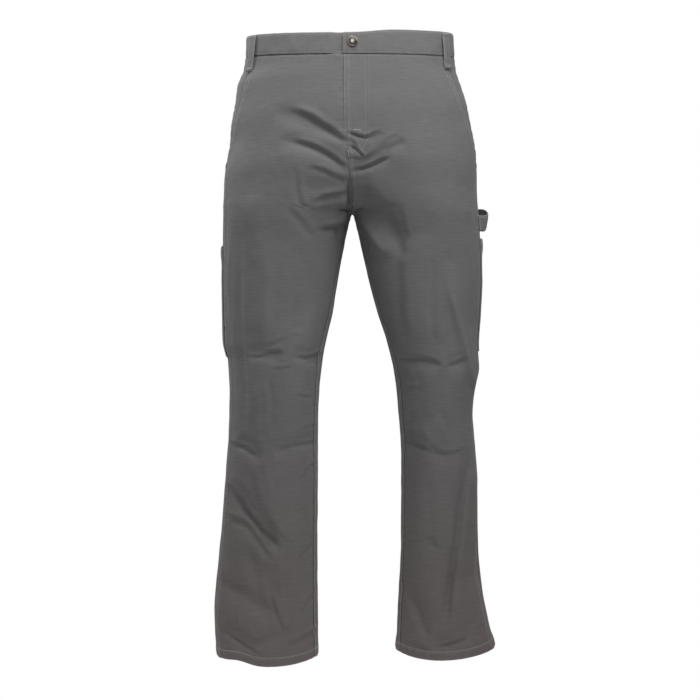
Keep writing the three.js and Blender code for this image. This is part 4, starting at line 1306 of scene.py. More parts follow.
@dataclass(frozen=True)
class CottonDuck:
    """Piece-dyed cotton duck: plain weave of doubled warp and thicker weft, washed and matt.

    The eye sees a close, slightly ribbed surface with thicker threads here and there, a soft
    bloom of fibre at grazing angles, and paler rims where seams have rubbed.
    """

    name: str
    colour: str
    slub: str
    worn: str
    # The tint multiplied in towards the hem: painted shade, darker and a touch warmer
    warm: str
    thread: float = 1.15
    rib: float = 2.6
    depth: float = 0.3

    def build(self) -> bpy.types.Material:
        """Makes the material on the cloth's own map, in metres."""
        shader = Shader(self.name)
        cloth = shader.node("UVMap", {"uv_map": "Cloth"}).outputs[0]
        place = shader.node("TexCoord").outputs["Object"]
        parts = shader.node("SeparateXYZ", i0=cloth).outputs
        # Real duck has about two threads a millimetre; they are drawn at 1.15 mm so that they
        # still show when the whole garment is in view.
        turn = np.pi / (self.thread * MM)
        warp = shader.maths("SINE", shader.maths("MULTIPLY", parts[0], turn))
        weft = shader.maths("SINE", shader.maths("MULTIPLY", parts[1], turn))
        weave = shader.maths("MULTIPLY", warp, weft)
        # Thick places in the weft, drawn 2.6 mm apart and about 30 mm long, and upright streaks
        stretched = shader.node("Mapping", Vector=cloth, Scale=(34.0, 1000 / self.rib, 1.0))
        slubs = shader.noise(stretched.outputs[0], 1.0, 2.5, 0.6, "2D")
        upright = shader.node("Mapping", Vector=cloth, Scale=(520.0, 24.0, 1.0))
        streaks = shader.noise(upright.outputs[0], 1.0, 2.0, 0.6, "2D")
        # Dye lies a little unevenly: clouds of some 90 mm, slubs and upright streaks
        clouds = shader.noise(place, 11.0, 4.0, 0.62)
        yarn = shader.ranged(shader.total((slubs, 0.8), (streaks, 0.2)), 0.34, 0.66)
        tone = shader.mix(yarn, linear(self.colour), linear(self.slub))
        dye = shader.ranged(clouds, 0.3, 0.7, 0.96, 1.04)
        lit = shader.node("HueSaturation", Value=dye, Color=tone).outputs[0]
        # Painted shade: the legs are multiplied darker and a touch warmer towards the hem, standing in
        # for light that falls off downwards
        height = shader.node("SeparateXYZ", i0=place).outputs[2]
        low = shader.ranged(height, -0.45, -1.1, ease="SMOOTHSTEP")
        hem_shaded = shader.mix(low, lit, linear(self.warm), "MULTIPLY")
        rubbed = shader.node("Attribute", {"attribute_name": "wear"}).outputs["Fac"]
        patchy = shader.ranged(shader.noise(place, 160.0, 3.0), 0.35, 0.7, 0.25, 0.85)
        finished = shader.mix(
            shader.maths("MULTIPLY", rubbed, patchy), hem_shaded, linear(self.worn)
        )
        raised = shader.total((weave, 0.2), (slubs, 1.3), (streaks, 0.15))
        ribbed = shader.node("Bump", Strength=self.depth, Distance=0.0006, Height=raised)
        shader.fill(
            shader.surface, Base_Color=finished, Normal=ribbed.outputs[0], Roughness=0.88,
            Specular_IOR_Level=0.2, Sheen_Weight=0.14, Sheen_Roughness=0.45,
            Sheen_Tint=linear("#c9c6c3"),
        )
        return shader.material


@dataclass(frozen=True)
class CoreThread:
    """Cotton-wrapped polyester core thread, dyed to match but paler than the cloth it stands on."""

    name: str = "core_thread_dyed"
    colour: str = "#aaa7a3"

    def build(self) -> bpy.types.Material:
        """Makes the material: a soft twist across the thread by fine diagonal waves."""
        shader = Shader(self.name)
        place = shader.node("TexCoord").outputs["Object"]
        # Twist of the yarn, some three turns a millimetre, drawn at 0.7 mm
        twist = shader.node(
            "TexWave", {"bands_direction": "DIAGONAL"}, Vector=place, Scale=220.0, Distortion=1.0
        )
        uneven = shader.ranged(shader.noise(place, 70.0, 2.0), 0.3, 0.7, 0.86, 1.1)
        tone = shader.node("HueSaturation", Value=uneven, Color=linear(self.colour)).outputs[0]
        wound = shader.node("Bump", Strength=0.4, Distance=0.0002, Height=twist.outputs["Fac"])
        shader.fill(
            shader.surface, Base_Color=tone, Normal=wound.outputs[0], Roughness=0.62,
            Sheen_Weight=0.3,
        )
        return shader.material


@dataclass(frozen=True)
class AntiqueBrass:
    """Cast brass dipped dark and rubbed back: near black in the hollows, warm on the rims."""

    name: str = "antique_brass_cast"
    dark: str = "#5f5852"
    # The pale colour of the rubbed rim, and of the crown, where it is also a painted highlight
    rubbed: str = "#d2cbc4"

    def build(self) -> bpy.types.Material:
        """Makes the material: fine pitting; paler where the "wear" attribute is high, which on the
        crown is also a painted highlight.
        """
        shader = Shader(self.name)
        place = shader.node("TexCoord").outputs["Object"]
        pits = shader.noise(place, 1400.0, 3.0)
        rim = shader.node("Attribute", {"attribute_name": "wear"}).outputs["Fac"]
        share = shader.maths("MULTIPLY", rim, shader.ranged(pits, 0.3, 0.65))
        pitted = shader.node("Bump", Strength=0.25, Distance=0.0001, Height=pits)
        shader.fill(
            shader.surface, Base_Color=shader.mix(share, linear(self.dark), linear(self.rubbed)),
            Roughness=shader.ranged(pits, 0.3, 0.7, 0.24, 0.44), Normal=pitted.outputs[0],
            Metallic=1.0,
        )
        return shader.material


@dataclass(frozen=True)
class PaintedFloor:
    """A painted studio floor: matt white with a faint roller texture."""

    name: str = "floor_white_paint"

    def build(self) -> bpy.types.Material:
        """Makes the material."""
        shader = Shader(self.name)
        place = shader.node("TexCoord").outputs["Object"]
        stipple = shader.noise(place, 60.0, 2.0)
        bumps = shader.node("Bump", Strength=0.05, Distance=0.0005, Height=stipple)
        shader.fill(
            shader.surface, Base_Color=linear("#f6f6f6"), Normal=bumps.outputs[0], Roughness=0.9
        )
        return shader.material


# The last colour of each is the tint of painted shade towards the hem
DUCK = CottonDuck("duck_canvas_washed", "#747475", "#7b7b7c", "#9c9a98", "#f0e4e0")
DUCK_FOLDED = CottonDuck("duck_canvas_doubled", "#767676", "#7d7d7d", "#9c9a98", "#f0e4e0")


@dataclass
class Wardrobe:
    """Every finish, made once."""

    made: dict[str, bpy.types.Material] = field(default_factory=dict)

    def of(self, finish: CottonDuck | CoreThread | AntiqueBrass | PaintedFloor) -> bpy.types.Material:
        """The material of a finish."""
        if finish.name not in self.made:
            self.made[finish.name] = finish.build()
        return self.made[finish.name]


WARDROBE = Wardrobe()


def dress(
    piece: bpy.types.Object, finish: object, nodes: Iterable[str] = ()
) -> bpy.types.Object:
    """Gives a piece its finish, the body that it rides on and the solids that it stands for.

    Args:
        piece: The piece.
        finish: Its finish.
        nodes: The solids.

    Returns:
        The piece.
    """
    piece.data.materials.clear()
    piece.data.materials.append(WARDROBE.of(finish))
    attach(piece, "root")
    if nodes:
        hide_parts(*nodes)
    triangles = sum(len(face.vertices) - 2 for face in piece.data.polygons)
    log.info("%s: %d triangles", piece.name, triangles)
    return piece


# Panels of the legs

# Rows of a panel: their pace, the height over the hem where they move closer, and how many follow
ROW_PACE, HEM_CLOSE, HEM_ROWS = 2.6, 20, 17
# The turned-up hem: the height of its inner edge, the way over which it thins out, and its stitches
TURN_UP, TURN_FADE, HEM_STITCHES = 15.0, 2.5, 15.6


@dataclass
class Cloth:
    """A sewn part of the pants: its outer face, its thickness and the solid it stands for."""

    node: str
    grid: Grid
    thickness: Array | float = CLOTH
    slot: str = "duck_canvas"
    finish: CottonDuck = DUCK
    sewing: Sewing | None = None

    def build(self, held: str, rests_on: Sequence[str]) -> None:
        """Args:
            held: How the sheet is held; not used.
            rests_on: What it lies on or hangs from; not used.
        """
        if self.sewing is not None:
            dress(self.sewing.build(), CoreThread())
        piece = shell_object(f"{self.node}_cloth", self.grid, self.thickness)
        dress(piece, self.finish, [self.node])
        flat, area = self.grid.cut()
        log.info("  cut %.3f by %.3f m, %.4f m2", *flat, area)


@dataclass
class Leg:
    """The panels of one leg, its half of the yoke and its hip facing."""

    side: Side
    form: LegForm = field(init=False)
    hem: Hem = field(init=False)
    name: str = field(init=False)
    over: bool = field(init=False)

    def __post_init__(self) -> None:
        """Finds the leg's form, hem and name, and whether its seams lie over the other leg's."""
        self.form = FORMS[self.side]
        self.hem = HEMS[self.side]
        self.name = self.side.name.lower()
        self.over = self.side is Side.LEFT

    def front_inner(self, z: float) -> float:
        """The front's angle at the rise seam, or at the inseam below the crotch."""
        return self.form.rise_angle(z, front_rise(z)) if z > CROTCH else inseam(z)

    def front_outer(self, z: float) -> float:
        """The front's angle at the pocket mouth, or at the outseam below it."""
        turn, fade = -200.0, 12.0
        share = smooth((z - turn) / fade)
        return mouth(z) * share + outseam(z) * (1 - share)

    def back_inner(self, z: float) -> float:
        """The back's angle at the rise seam, or at the inseam below the crotch."""
        if z > CROTCH:
            return 360 - self.form.rise_angle(z, back_rise(z))
        return 360 + inseam(z)

    def rests(self, top: float) -> Array:
        """Heights of the rows at rest, closer together at the hem."""
        low = self.hem.height
        body = np.arange(top, low + HEM_CLOSE + 2, -ROW_PACE)
        return np.concatenate([body, np.linspace(low + HEM_CLOSE, low, HEM_ROWS)])

    def thickness(self, rests: Array) -> Array:
        """The cloth's thickness by row: doubled where the hem is turned up."""
        turned = 1 - smooth((rests - self.hem.height - TURN_UP) / TURN_FADE)
        return (CLOTH * (1 + turned))[:, None]

    @staticmethod
    def rise_reach(z: float) -> float:
        """How far the lower layer of the rise runs on past its seam: less at the crotch."""
        least, more, start, fade = 2.0, 4.0, -275.0, 25.0
        return least + more * float(smooth((z - start) / fade))

    def fly_reach(self, z: float) -> float:
        """How far the front runs on past its inner seam, further still under the fly."""
        if z < CROTCH:
            return UNDERLAP
        if self.over:
            return MEETING
        more, start, fade = 5.0, -190.0, 10.0
        return self.rise_reach(z) + more * smooth((z - start) / fade)

    def front_lift(self, distance: Array, angle: Array, z: Array) -> Array:
        """The lift of the pocket mouth and, on the left, of the lap and the fly's stitching.

        Args:
            distance: Distance in from the rise seam.
            angle: Degrees round the leg.
            z: Heights.

        Returns:
            1.1 mm at the mouth's edge, easing off inwards and at both ends; the lap, 1.2 mm proud
            at its edge; and a groove along the curved stitching.
        """
        mouth_lift, mouth_width, mouth_fade, mouth_top = 1.1, 14, 50, -10
        near = smooth((angle - (mouth(z) - mouth_width)) / mouth_width)
        off_foot = smooth((z - MOUTH_BOTTOM) / mouth_fade)
        lift = mouth_lift * near * off_foot * smooth((mouth_top - z) / mouth_fade)
        if self.over:
            lap_lift, lap_width, lap_end = 1.2, 26, -186
            groove, groove_width, fly_width, fly_foot = 0.32, 1.5, 60, -215
            on_lap = np.clip(1 - distance / lap_width, 0, 1) * smooth((z - lap_end) / lap_width + 1)
            under_band = 0.35 + 0.65 * smooth((-26 - z) / 14)
            lift = lift + lap_lift * on_lap * under_band * (z > CROTCH)
            for width, depth in FLY_ROWS:
                turn = np.linspace(0, np.pi / 2, 14)
                ds = np.concatenate([[width], FLY_END + (width - FLY_END) * np.cos(turn)])
                zs = np.concatenate([[0], FLY_TURN - depth * np.sin(turn)])
                gap = np.full(z.shape, 99.0)
                close = (distance < fly_width) & (z > fly_foot)
                for a, b, c, d in zip(ds, zs, ds[1:], zs[1:]):
                    way, high = c - a, d - b
                    px, pz = distance[close] - a, z[close] - b
                    t = np.clip((px * way + pz * high) / (way**2 + high**2), 0, 1)
                    gap[close] = np.minimum(gap[close], np.hypot(px - t * way, pz - t * high))
                lift = lift - groove * bump(gap, groove_width)
        return lift

    def front(self) -> Cloth:
        """The front panel, with its mouth, outseam, rise and hem sewn."""
        steps = np.arange(11.0, 47.0, 1.7) if self.over else np.array([11.0, 12.6])
        spread = Spread(
            self.form, self.front_inner, self.front_outer, self.fly_reach, lambda z: MEETING,
            first_steps=np.concatenate([np.arange(0.0, 10.6, 1.0), steps]),
            middle=44 if self.over else 54,
        )
        rests = self.rests(-8)
        fly_end, mouth_end = -176, -197
        rise = ((ABOVE, FLY_EDGE), (fly_end, FELLED)) if self.over else ((ABOVE, UNDER),)
        panel = Panel(
            spread, rests, top_rest=-12, top=WAIST_SEAM.at, hem=self.hem,
            first_edges=(*rise, (CROTCH, SUNK)),
            last_edges=((ABOVE, FREE), (mouth_end, FELLED)),
            top_edge=BANDED, bottom_edge=HEMMED, lift=self.front_lift,
        )
        grid = panel.grid()
        sewing = Sewing(f"front_{self.name}_sewing")
        sew_seam(sewing, grid, np.arange(2.0, len(rests) - 1))
        sew_hem(sewing, grid)
        tack_at(sewing, grid, -206, lambda length: length - sum(STITCH_ROWS) / 2, upright=False)
        if self.over:
            rise_rows = rows_between(grid, 20, CROTCH + 5, 4)
            sewing.row(*column_line(grid, FLY_EDGE.rows[0], rise_rows))
            low_rise = rows_between(grid, -172, CROTCH + 6, 4)
            sewing.row(*column_line(grid, STITCH_ROWS[0], low_rise))
            self.sew_fly(sewing, grid)
        return Cloth(f"front_{self.name}", grid, self.thickness(rests), sewing=sewing)

    @staticmethod
    def sew_fly(sewing: Sewing, grid: Grid) -> None:
        """Sews the fly's two curved rows and its bartacks."""
        heights = grid.points[:, 20, 2]
        upright = 50
        for width, depth in FLY_ROWS:
            turn = np.linspace(0, np.pi / 2, 24)
            straight = np.linspace(heights[3], FLY_TURN, upright, endpoint=False)
            zs = np.concatenate([straight, FLY_TURN - depth * np.sin(turn)])
            curve = FLY_END + (width - FLY_END) * np.cos(turn)
            ds = np.concatenate([np.full(upright, width), curve])
            rows = np.interp(-zs, -heights, np.arange(len(heights)))
            sewing.row(*column_line(grid, ds, rows))
        tack_at(sewing, grid, -152, lambda length: 22, upright=False, length=13)
        tack_at(sewing, grid, -192, lambda length: 6, upright=True, length=11)

    def back(self) -> Cloth:
        """The back panel, with its rise, inseam and hem sewn."""
        spread = Spread(
            self.form, outseam, self.back_inner, lambda z: UNDERLAP,
            lambda z: MEETING if self.over or z < CROTCH else self.rise_reach(z),
            first_steps=BACK_STEPS, middle=54,
        )
        rests = self.rests(-64)
        panel = Panel(
            spread, rests, top_rest=-70, top=yoke_seam, hem=self.hem,
            first_edges=((ABOVE, UNDER),),
            last_edges=((ABOVE, FELLED if self.over else UNDER), (CROTCH, FELLED)),
            top_edge=UNDER, bottom_edge=HEMMED,
        )
        grid = panel.grid()
        sewing = Sewing(f"back_{self.name}_sewing")
        first = 3.0 if self.over else rows_between(grid, CROTCH - 3, -2000, -3)[0]
        sew_seam(sewing, grid, np.arange(first, len(rests) - 1))
        sew_hem(sewing, grid)
        return Cloth(f"back_{self.name}", grid, self.thickness(rests), sewing=sewing)

    def yoke(self) -> Cloth:
        """The half yoke, felled down over the top of the back panel."""
        spread = Spread(
            self.form, outseam, self.back_inner, lambda z: UNDERLAP,
            lambda z: MEETING if self.over else 6.0,
            first_steps=BACK_STEPS, middle=54, heights=np.arange(62.0, -140.0, -2.0),
        )
        rests = np.linspace(-6, YOKE_CENTRE, 52)
        panel = Panel(
            spread, rests, top_rest=-10, top=WAIST_SEAM.at, bottom=yoke_seam,
            first_edges=((ABOVE, UNDER),), last_edges=((ABOVE, FELLED if self.over else UNDER),),
            top_edge=BANDED, bottom_edge=FELLED,
        )
        grid = panel.grid()
        sewing = Sewing(f"yoke_{self.name}_sewing")
        fallen = -grid.points[..., 2]
        columns = np.arange(1.0, grid.points.shape[1] - 2)
        for row in STITCH_ROWS:
            sewing.across(grid, fallen, fallen[-1] - row, columns)
        if self.over:
            sew_seam(sewing, grid, np.arange(3.0, len(rests) - 1))
        return Cloth(f"yoke_{self.name}", grid, sewing=sewing)

    def facing(self) -> Cloth:
        """The hip facing behind the pocket mouth, felled over the back at the outseam."""
        hidden = 7.0
        spread = Spread(
            self.form, lambda z: mouth(z) - hidden, outseam, None, lambda z: MEETING,
            first_steps=np.array([0.0, 4.0, 8.0, 12.0]), middle=12,
            last_steps=edge_steps(10.0), heights=np.arange(62.0, -260.0, -2.0),
        )

        def lift(distance: Array, angle: Array, z: Array) -> Array:
            """Sinks the facing under the front, and lets it climb to the outseam."""
            sunk, end, fade = 1.9, -188, 8
            climb = np.clip(outseam(z) - mouth(z) - 1, 1.5, 9)
            risen = smooth((angle - mouth(z) - 0.5) / climb)
            return -sunk * np.maximum(1 - risen, smooth((end - z) / fade))

        rests = np.arange(-8, -206, -2.5)
        panel = Panel(
            spread, rests, top_rest=-12, top=WAIST_SEAM.at,
            last_edges=((ABOVE, FELLED),), top_edge=BANDED, lift=lift,
        )
        grid = panel.grid()
        sewing = Sewing(f"hip_facing_{self.name}_sewing")
        sew_seam(sewing, grid, rows_between(grid, 0, -193, -3)[3:])
        return Cloth(f"hip_facing_{self.name}", grid, sewing=sewing)

    def build(self) -> None:
        """Makes every piece of the leg."""
        for part in (self.front(), self.back(), self.yoke(), self.facing()):
            part.build("hung", ["waistband_cloth"])
        log.info("%s leg made", self.name)


def sew_seam(sewing: Sewing, grid: Grid, rows: Array) -> None:
    """Sews the two rows beside a grid's last seam, over some rows of the grid."""
    for row in STITCH_ROWS:
        sewing.row(*column_line(grid, grid.length[rows.astype(int)] - row, rows))


def sew_hem(sewing: Sewing, grid: Grid) -> None:
    """Sews the hem's single row above the edge."""
    fallen = -grid.points[..., 2]
    columns = np.arange(1.0, grid.points.shape[1] - 1)
    sewing.across(grid, fallen, fallen[-1] - HEM_STITCHES, columns)


def tack_at(
    sewing: Sewing, grid: Grid, height: float, place: Callable[[float], float],
    upright: bool, length: float = 10.0,
) -> None:
    """Sews a bartack on a grid.

    Args:
        sewing: The garment part's stitches.
        grid: The cloth.
        height: The bartack's height.
        place: Its distance from the first seam, by the cloth's length between seams.
        upright: Whether it runs up the cloth.
        length: How long it is.
    """
    fallen = -grid.points[:, grid.points.shape[1] // 2, 2]
    row = float(np.interp(-height, fallen, np.arange(len(fallen))))
    middle = float(place(grid.length[int(row)]))
    points, normals = column_line(
        grid, np.array([middle - 1.5, middle + 1.5]), np.array([row, row])
    )
    way = UP if upright else unit(points[1] - points[0])
    sewing.tack(points.mean(axis=0), way, unit(normals.mean(axis=0)), length, PATCH_TACK_WIDTH)


# Patch pockets


@dataclass
class Patch:
    """A pocket sewn on the back panel by three sides, with a hemmed mouth that stands off."""

    node: str
    side: Side
    angle: Callable[[Array, Array], Array]
    top: Callable[[Array], Array]
    bottom: Callable[[Array], Array]
    middle: float
    half_width: float
    high: float
    gape: float
    size: tuple[int, int]

    def build(self) -> None:
        """Makes the patch.

        The rows run from the mouth to the foot, and the angle of each column is read from its
        share across and down. The lift off the panel is 0.3 mm, more at the mouth's middle, with a
        slight fullness of 0.6 mm away from the sewn edges.
        """
        form = FORMS[self.side]
        rows, columns = self.size
        hem_share, hem_rows = 0.12, 15
        down = np.concatenate([
            np.linspace(0, hem_share, hem_rows + 1)[:-1], np.linspace(hem_share, 1, rows - hem_rows)
        ])
        s, t = crowded(columns, 0.6)[None, :], down[:, None]
        z = self.top(s) + (self.bottom(s) - self.top(s)) * t
        angle = self.angle(s + 0 * t, t + 0 * s)
        plain = form.round(angle, z)
        along, fall = run_along(plain, 1), run_along(plain, 0)
        side = np.minimum(along, along[:, -1:] - along)
        edge = np.minimum(side, fall[-1:] - fall)
        gape_depth, full, full_from, full_fade = 70, 0.6, 9, 26
        lift = SEAM_GAP + self.gape * smooth(1 - (self.high - z) / gape_depth) * np.clip(
            1 - ((angle - self.middle) / self.half_width) ** 2, 0, 1
        )
        lift = lift + full * smooth((edge - full_from) / full_fade)
        lift = lift + PATCHED.relief(edge, z + along)
        lift = lift + POCKET_HEM.relief(fall, along) * smooth(side / 6)
        hand = self.side.value
        base = form.cloth(angle, z)
        points = base + down_and_across(base, hand) * (lift + CLOTH)[..., None]
        wear = PATCHED.wear(edge) + POCKET_HEM.wear(fall)
        grid = Grid(points, hand, along, wear, along[:, -1], plain)
        sewing = Sewing(f"{self.node}_sewing")
        count = np.arange(columns)
        for inset in PATCHED.rows:
            foot = int(np.argmin(np.abs(fall[-1, 0] - fall[:, 0] - inset)))
            part = np.arange(1.0, foot)
            sewing.row(*column_line(grid, inset, part))
            sewing.row(*column_line(grid, along[1:foot, -1] - inset, part))
            ends = np.interp([inset, along[-1, -1] - inset], along[-1], count)
            feet = count[(count > ends[0]) & (count < ends[1])].astype(float)
            sewing.across(grid, fall, fall[-1] - inset, feet)
        across = count[1:-1].astype(float)
        for inset in POCKET_HEM.rows:
            sewing.across(grid, fall, inset, across)
        corner, tack_row, tack_length = 4.5, 3.0, 10.0
        for column in np.interp([corner, along[1, -1] - corner], along[1], count):
            sewing.tack_on(grid, tack_row, column, UP, tack_length, PATCH_TACK_WIDTH)
        part = Cloth(self.node, grid, CLOTH, "duck_trim", DUCK_FOLDED, sewing)
        part.build("laid", [f"back_{self.side.name.lower()}_cloth"])


@dataclass
class Pockets:
    """The two tool pockets and the two back pockets."""

    def build(self) -> None:
        """Makes each patch from its corners, as on the solids."""
        for side, corners in TOOL_POCKETS.items():
            self.tool(side, corners)
        for side in Side:
            self.back(side)
        log.info("pockets made")

    @staticmethod
    def tool(side: Side, corners: Sequence[tuple[float, float]]) -> None:
        """The tool pocket, from the outseam round to the back, with one corner cut off.

        Args:
            side: The wearer's side.
            corners: Angle and height of each corner from the mouth's front one.
        """
        (a0, z0), (a1, z1), (a2, z2), (a3, z3), (_, z4) = corners

        def bottom(s: Array) -> Array:
            """The foot: level, then slanted up where the corner is cut off."""
            at = a0 + (a2 - a0) * s
            return np.interp(at, [a0, a3, a2], [z4, z3, z2])

        Patch(
            f"tool_pocket_{side.name.lower()}", side,
            angle=lambda s, t: a0 + (a1 + (a2 - a1) * t - a0) * s,
            top=lambda s: z0 + (z1 - z0) * s, bottom=bottom,
            middle=200.5, half_width=36.5, high=max(z0, z1), gape=3.0, size=(86, 62),
        ).build()

    @staticmethod
    def back(side: Side) -> None:
        """The back pocket: a five-cornered patch with its point low in the middle."""
        form = FORMS[side]

        def place(s: Array, t: Array) -> Array:
            """The angle at a share across from the outer side and a share down."""
            outer = 164 - 6 * t
            inner = 38 + 8 * t
            out = outer + (inner - outer) * s
            return form.angle_behind(out, top(s) + (bottom(s) - top(s)) * t)

        def top(s: Array) -> Array:
            """The mouth's line."""
            return -114 - 12 * s

        def bottom(s: Array) -> Array:
            """The foot, by the distance out."""
            return np.interp(158 - 112 * s, [46, 100, 158], [-244, -268, -236])

        Patch(
            f"back_pocket_{side.name.lower()}", side, angle=place, top=top, bottom=bottom,
            middle=240, half_width=22, high=-114, gape=0.9, size=(70, 60),
        ).build()

# The waist

# The band: its grid, the degrees that it runs over, where its right end goes under the lap, and how
# deep that end lies
BAND_ROWS, BAND_COLUMNS = 29, 496
BAND_RUN = (-2.4, 368.0)
BAND_DROP, BAND_DROP_RUN, BAND_UNDER = 351.0, 4.6, -2.3
# Its rows of stitches by their distance from the lower edge, the upper edge and the lap's end
BAND_LOW, BAND_HIGH, LAP_ROWS = 2.2, 3.2, (3.0, 9.0)


@dataclass
class Waist:
    """The waistband, its five belt loops and the button."""

    def build(self) -> None:
        """Makes every piece at the waist."""
        self.band()
        for name, angle in BELT_LOOPS:
            self.loop(name, angle)
        self.hammer_loop()
        self.button()
        log.info("waist made")

    def band(self) -> None:
        """The band: one strip all round whose left end laps over the right end."""
        angles = np.linspace(*BAND_RUN, BAND_COLUMNS)[None, :]
        guide = around_waist(angles, np.zeros(angles.shape), 0)
        low, high = WAIST_SEAM.at(guide), waist_top(guide)
        z = high + (low - high) * crowded(BAND_ROWS, 0.55)[:, None]
        angles = np.broadcast_to(angles, z.shape)
        drop = smooth((angles - BAND_DROP) / BAND_DROP_RUN)
        plain = around_waist(angles, z, BAND_PROUD + (BAND_UNDER - BAND_PROUD) * drop)
        along, down = run_along(plain, 1), run_along(plain, 0)
        up = down[-1:] - down
        relief = 0.3 * smooth(up / 9) * smooth(down / 7)
        relief = relief - 0.5 * bump(down, 1.6) - 0.4 * bump(up, 1.3)
        relief = relief - 0.34 * (bump(up - BAND_LOW, 1.3) + bump(down - BAND_HIGH, 1.3))
        relief = relief + 0.24 * pucker(along[-1:] + 0 * along) * bump(up - 7, 7)
        relief = relief + 0.16 * pucker(along[-1:] + 0 * along, 2) * bump(down - 6, 6)
        relief = relief + 0.3 * RUMPLE.at(plain) * (1 - drop)
        relief = relief - 0.34 * bump(along - LAP_ROWS[0], 1.2)
        wear = 0.8 * bump(down - 0.3, 1.8) + 0.5 * bump(up, 1.4) + 0.7 * bump(along, 1.4)
        points = plain + down_and_across(plain, 1) * relief[..., None]
        grid = Grid(points, 1, along, wear, along[:, -1], plain)
        sewing = Sewing("waistband_sewing")
        columns = np.arange(3.0, points.shape[1] - 24)
        sewing.across(grid, down, down[-1] - BAND_LOW, columns)
        sewing.across(grid, down, BAND_HIGH, columns)
        for inset in LAP_ROWS:
            sewing.row(*column_line(grid, inset, np.arange(2.0, BAND_ROWS - 2)))
        part = Cloth("waistband", grid, BAND_THICKNESS, "duck_trim", DUCK_FOLDED, sewing)
        part.build("folded", ["front_left_cloth", "front_right_cloth"])

    @staticmethod
    def loop(name: str, angle: float) -> None:
        """A belt loop: a folded strap tacked to the band's top and below the band.

        Args:
            name: The solid's name.
            angle: Degrees round the waist.
        """
        length, half, stand_off, hollow = 65, 8.5, 2.0, 3.1
        degrees = np.array([angle + 0.5, angle - 0.5])
        ahead, behind = around_waist(degrees, np.zeros(2), 0)
        per_degree = float(np.linalg.norm(ahead - behind))
        share = np.linspace(0, 1, 46)[:, None]
        across = np.linspace(-half, half, 17)[None, :]
        turned = angle + across / per_degree
        guide = around_waist(turned, np.zeros(turned.shape), 0)
        z = waist_top(guide) - 1 - length * share
        turned = np.broadcast_to(turned, z.shape)
        stand = SEAM_GAP + hollow * np.sin(np.pi * share) ** 0.8
        ends = 0.5 * (1 - smooth((share - 0.1) / 0.05)), 0.5 * smooth((share - 0.87) / 0.05)
        stand = stand + ends[0] + ends[1]
        stand = stand - 0.7 * bump(np.abs(across) - half - 0.2, 1.5)
        stand = stand - 0.3 * bump(np.abs(across) - 5.4, 1.2) + 0.12 * np.sin(share * 46 + angle)
        plain = around_waist(turned, z, BAND_PROUD + stand_off + 1)
        points = around_waist(turned, z, BAND_PROUD + stand_off + stand)
        along = run_along(plain, 1)
        wear = 0.9 * bump(np.abs(across) - half, 1.3) + 0 * share
        grid = Grid(points, 1, along, wear, along[:, -1], plain)
        sewing = Sewing(f"{name}_sewing")
        for inset in (3.1, 13.9):
            sewing.row(*column_line(grid, inset, np.arange(1.0, 45.0)))
        for row in (2.4, 42.0):
            way = points[int(row), 9] - points[int(row), 7]
            sewing.tack_on(grid, row, 8.0, way, 14.0, LOOP_TACK_WIDTH)
        part = Cloth(name, grid, 2.0, "duck_trim", DUCK_FOLDED, sewing)
        part.build("folded", ["waistband_cloth"])

    @staticmethod
    def hammer_loop() -> None:
        """The strap for a hammer on the left leg, bowed out between its sewn ends."""
        share = np.linspace(0, 1, 74)[None, :]
        down = np.linspace(0, 1, 17)[:, None]
        start, run, height, climb, width = 162.5, 40.5, -304, 16, 28
        z = height + climb * smooth((share - 0.25) / 0.5) + (0.5 - down) * width
        bow = np.sin(np.pi * np.clip((share - 0.12) / 0.76, 0, 1)) ** 1.2
        bow = bow * (1.1 - 0.42 * down**1.6)
        form, reach = FORMS[Side.LEFT], 14
        angle = np.broadcast_to(start + run * share, z.shape)
        plain = form.cloth(angle, z, 2.0 + reach * bow)
        along, fall = run_along(plain, 1), run_along(plain, 0)
        edge = np.minimum(fall, fall[-1:] - fall)
        relief = 0.4 - 0.6 * bump(edge, 1.3) - 0.3 * bump(edge - 4.0, 1.2)
        relief = relief + 0.25 * RUMPLE.at(plain) * bow
        points = form.cloth(angle, z, SEAM_GAP + reach * bow + 2.4 + relief)
        grid = Grid(points, 1, along, 0.9 * bump(edge, 1.4), along[:, -1], plain)
        sewing = Sewing("hammer_loop_sewing")
        for row in (2.2, 13.8):
            columns = np.arange(1.0, 73.0)
            sewing.row(*grid.at(np.full(columns.shape, row), columns))
        for column in (3.0, 70.0):
            sewing.tack_on(grid, 8.0, column, UP, 24.0, LOOP_TACK_WIDTH)
        part = Cloth("hammer_loop", grid, 2.4, "duck_trim", DUCK_FOLDED, sewing)
        part.build("folded", ["tool_pocket_left_cloth"])

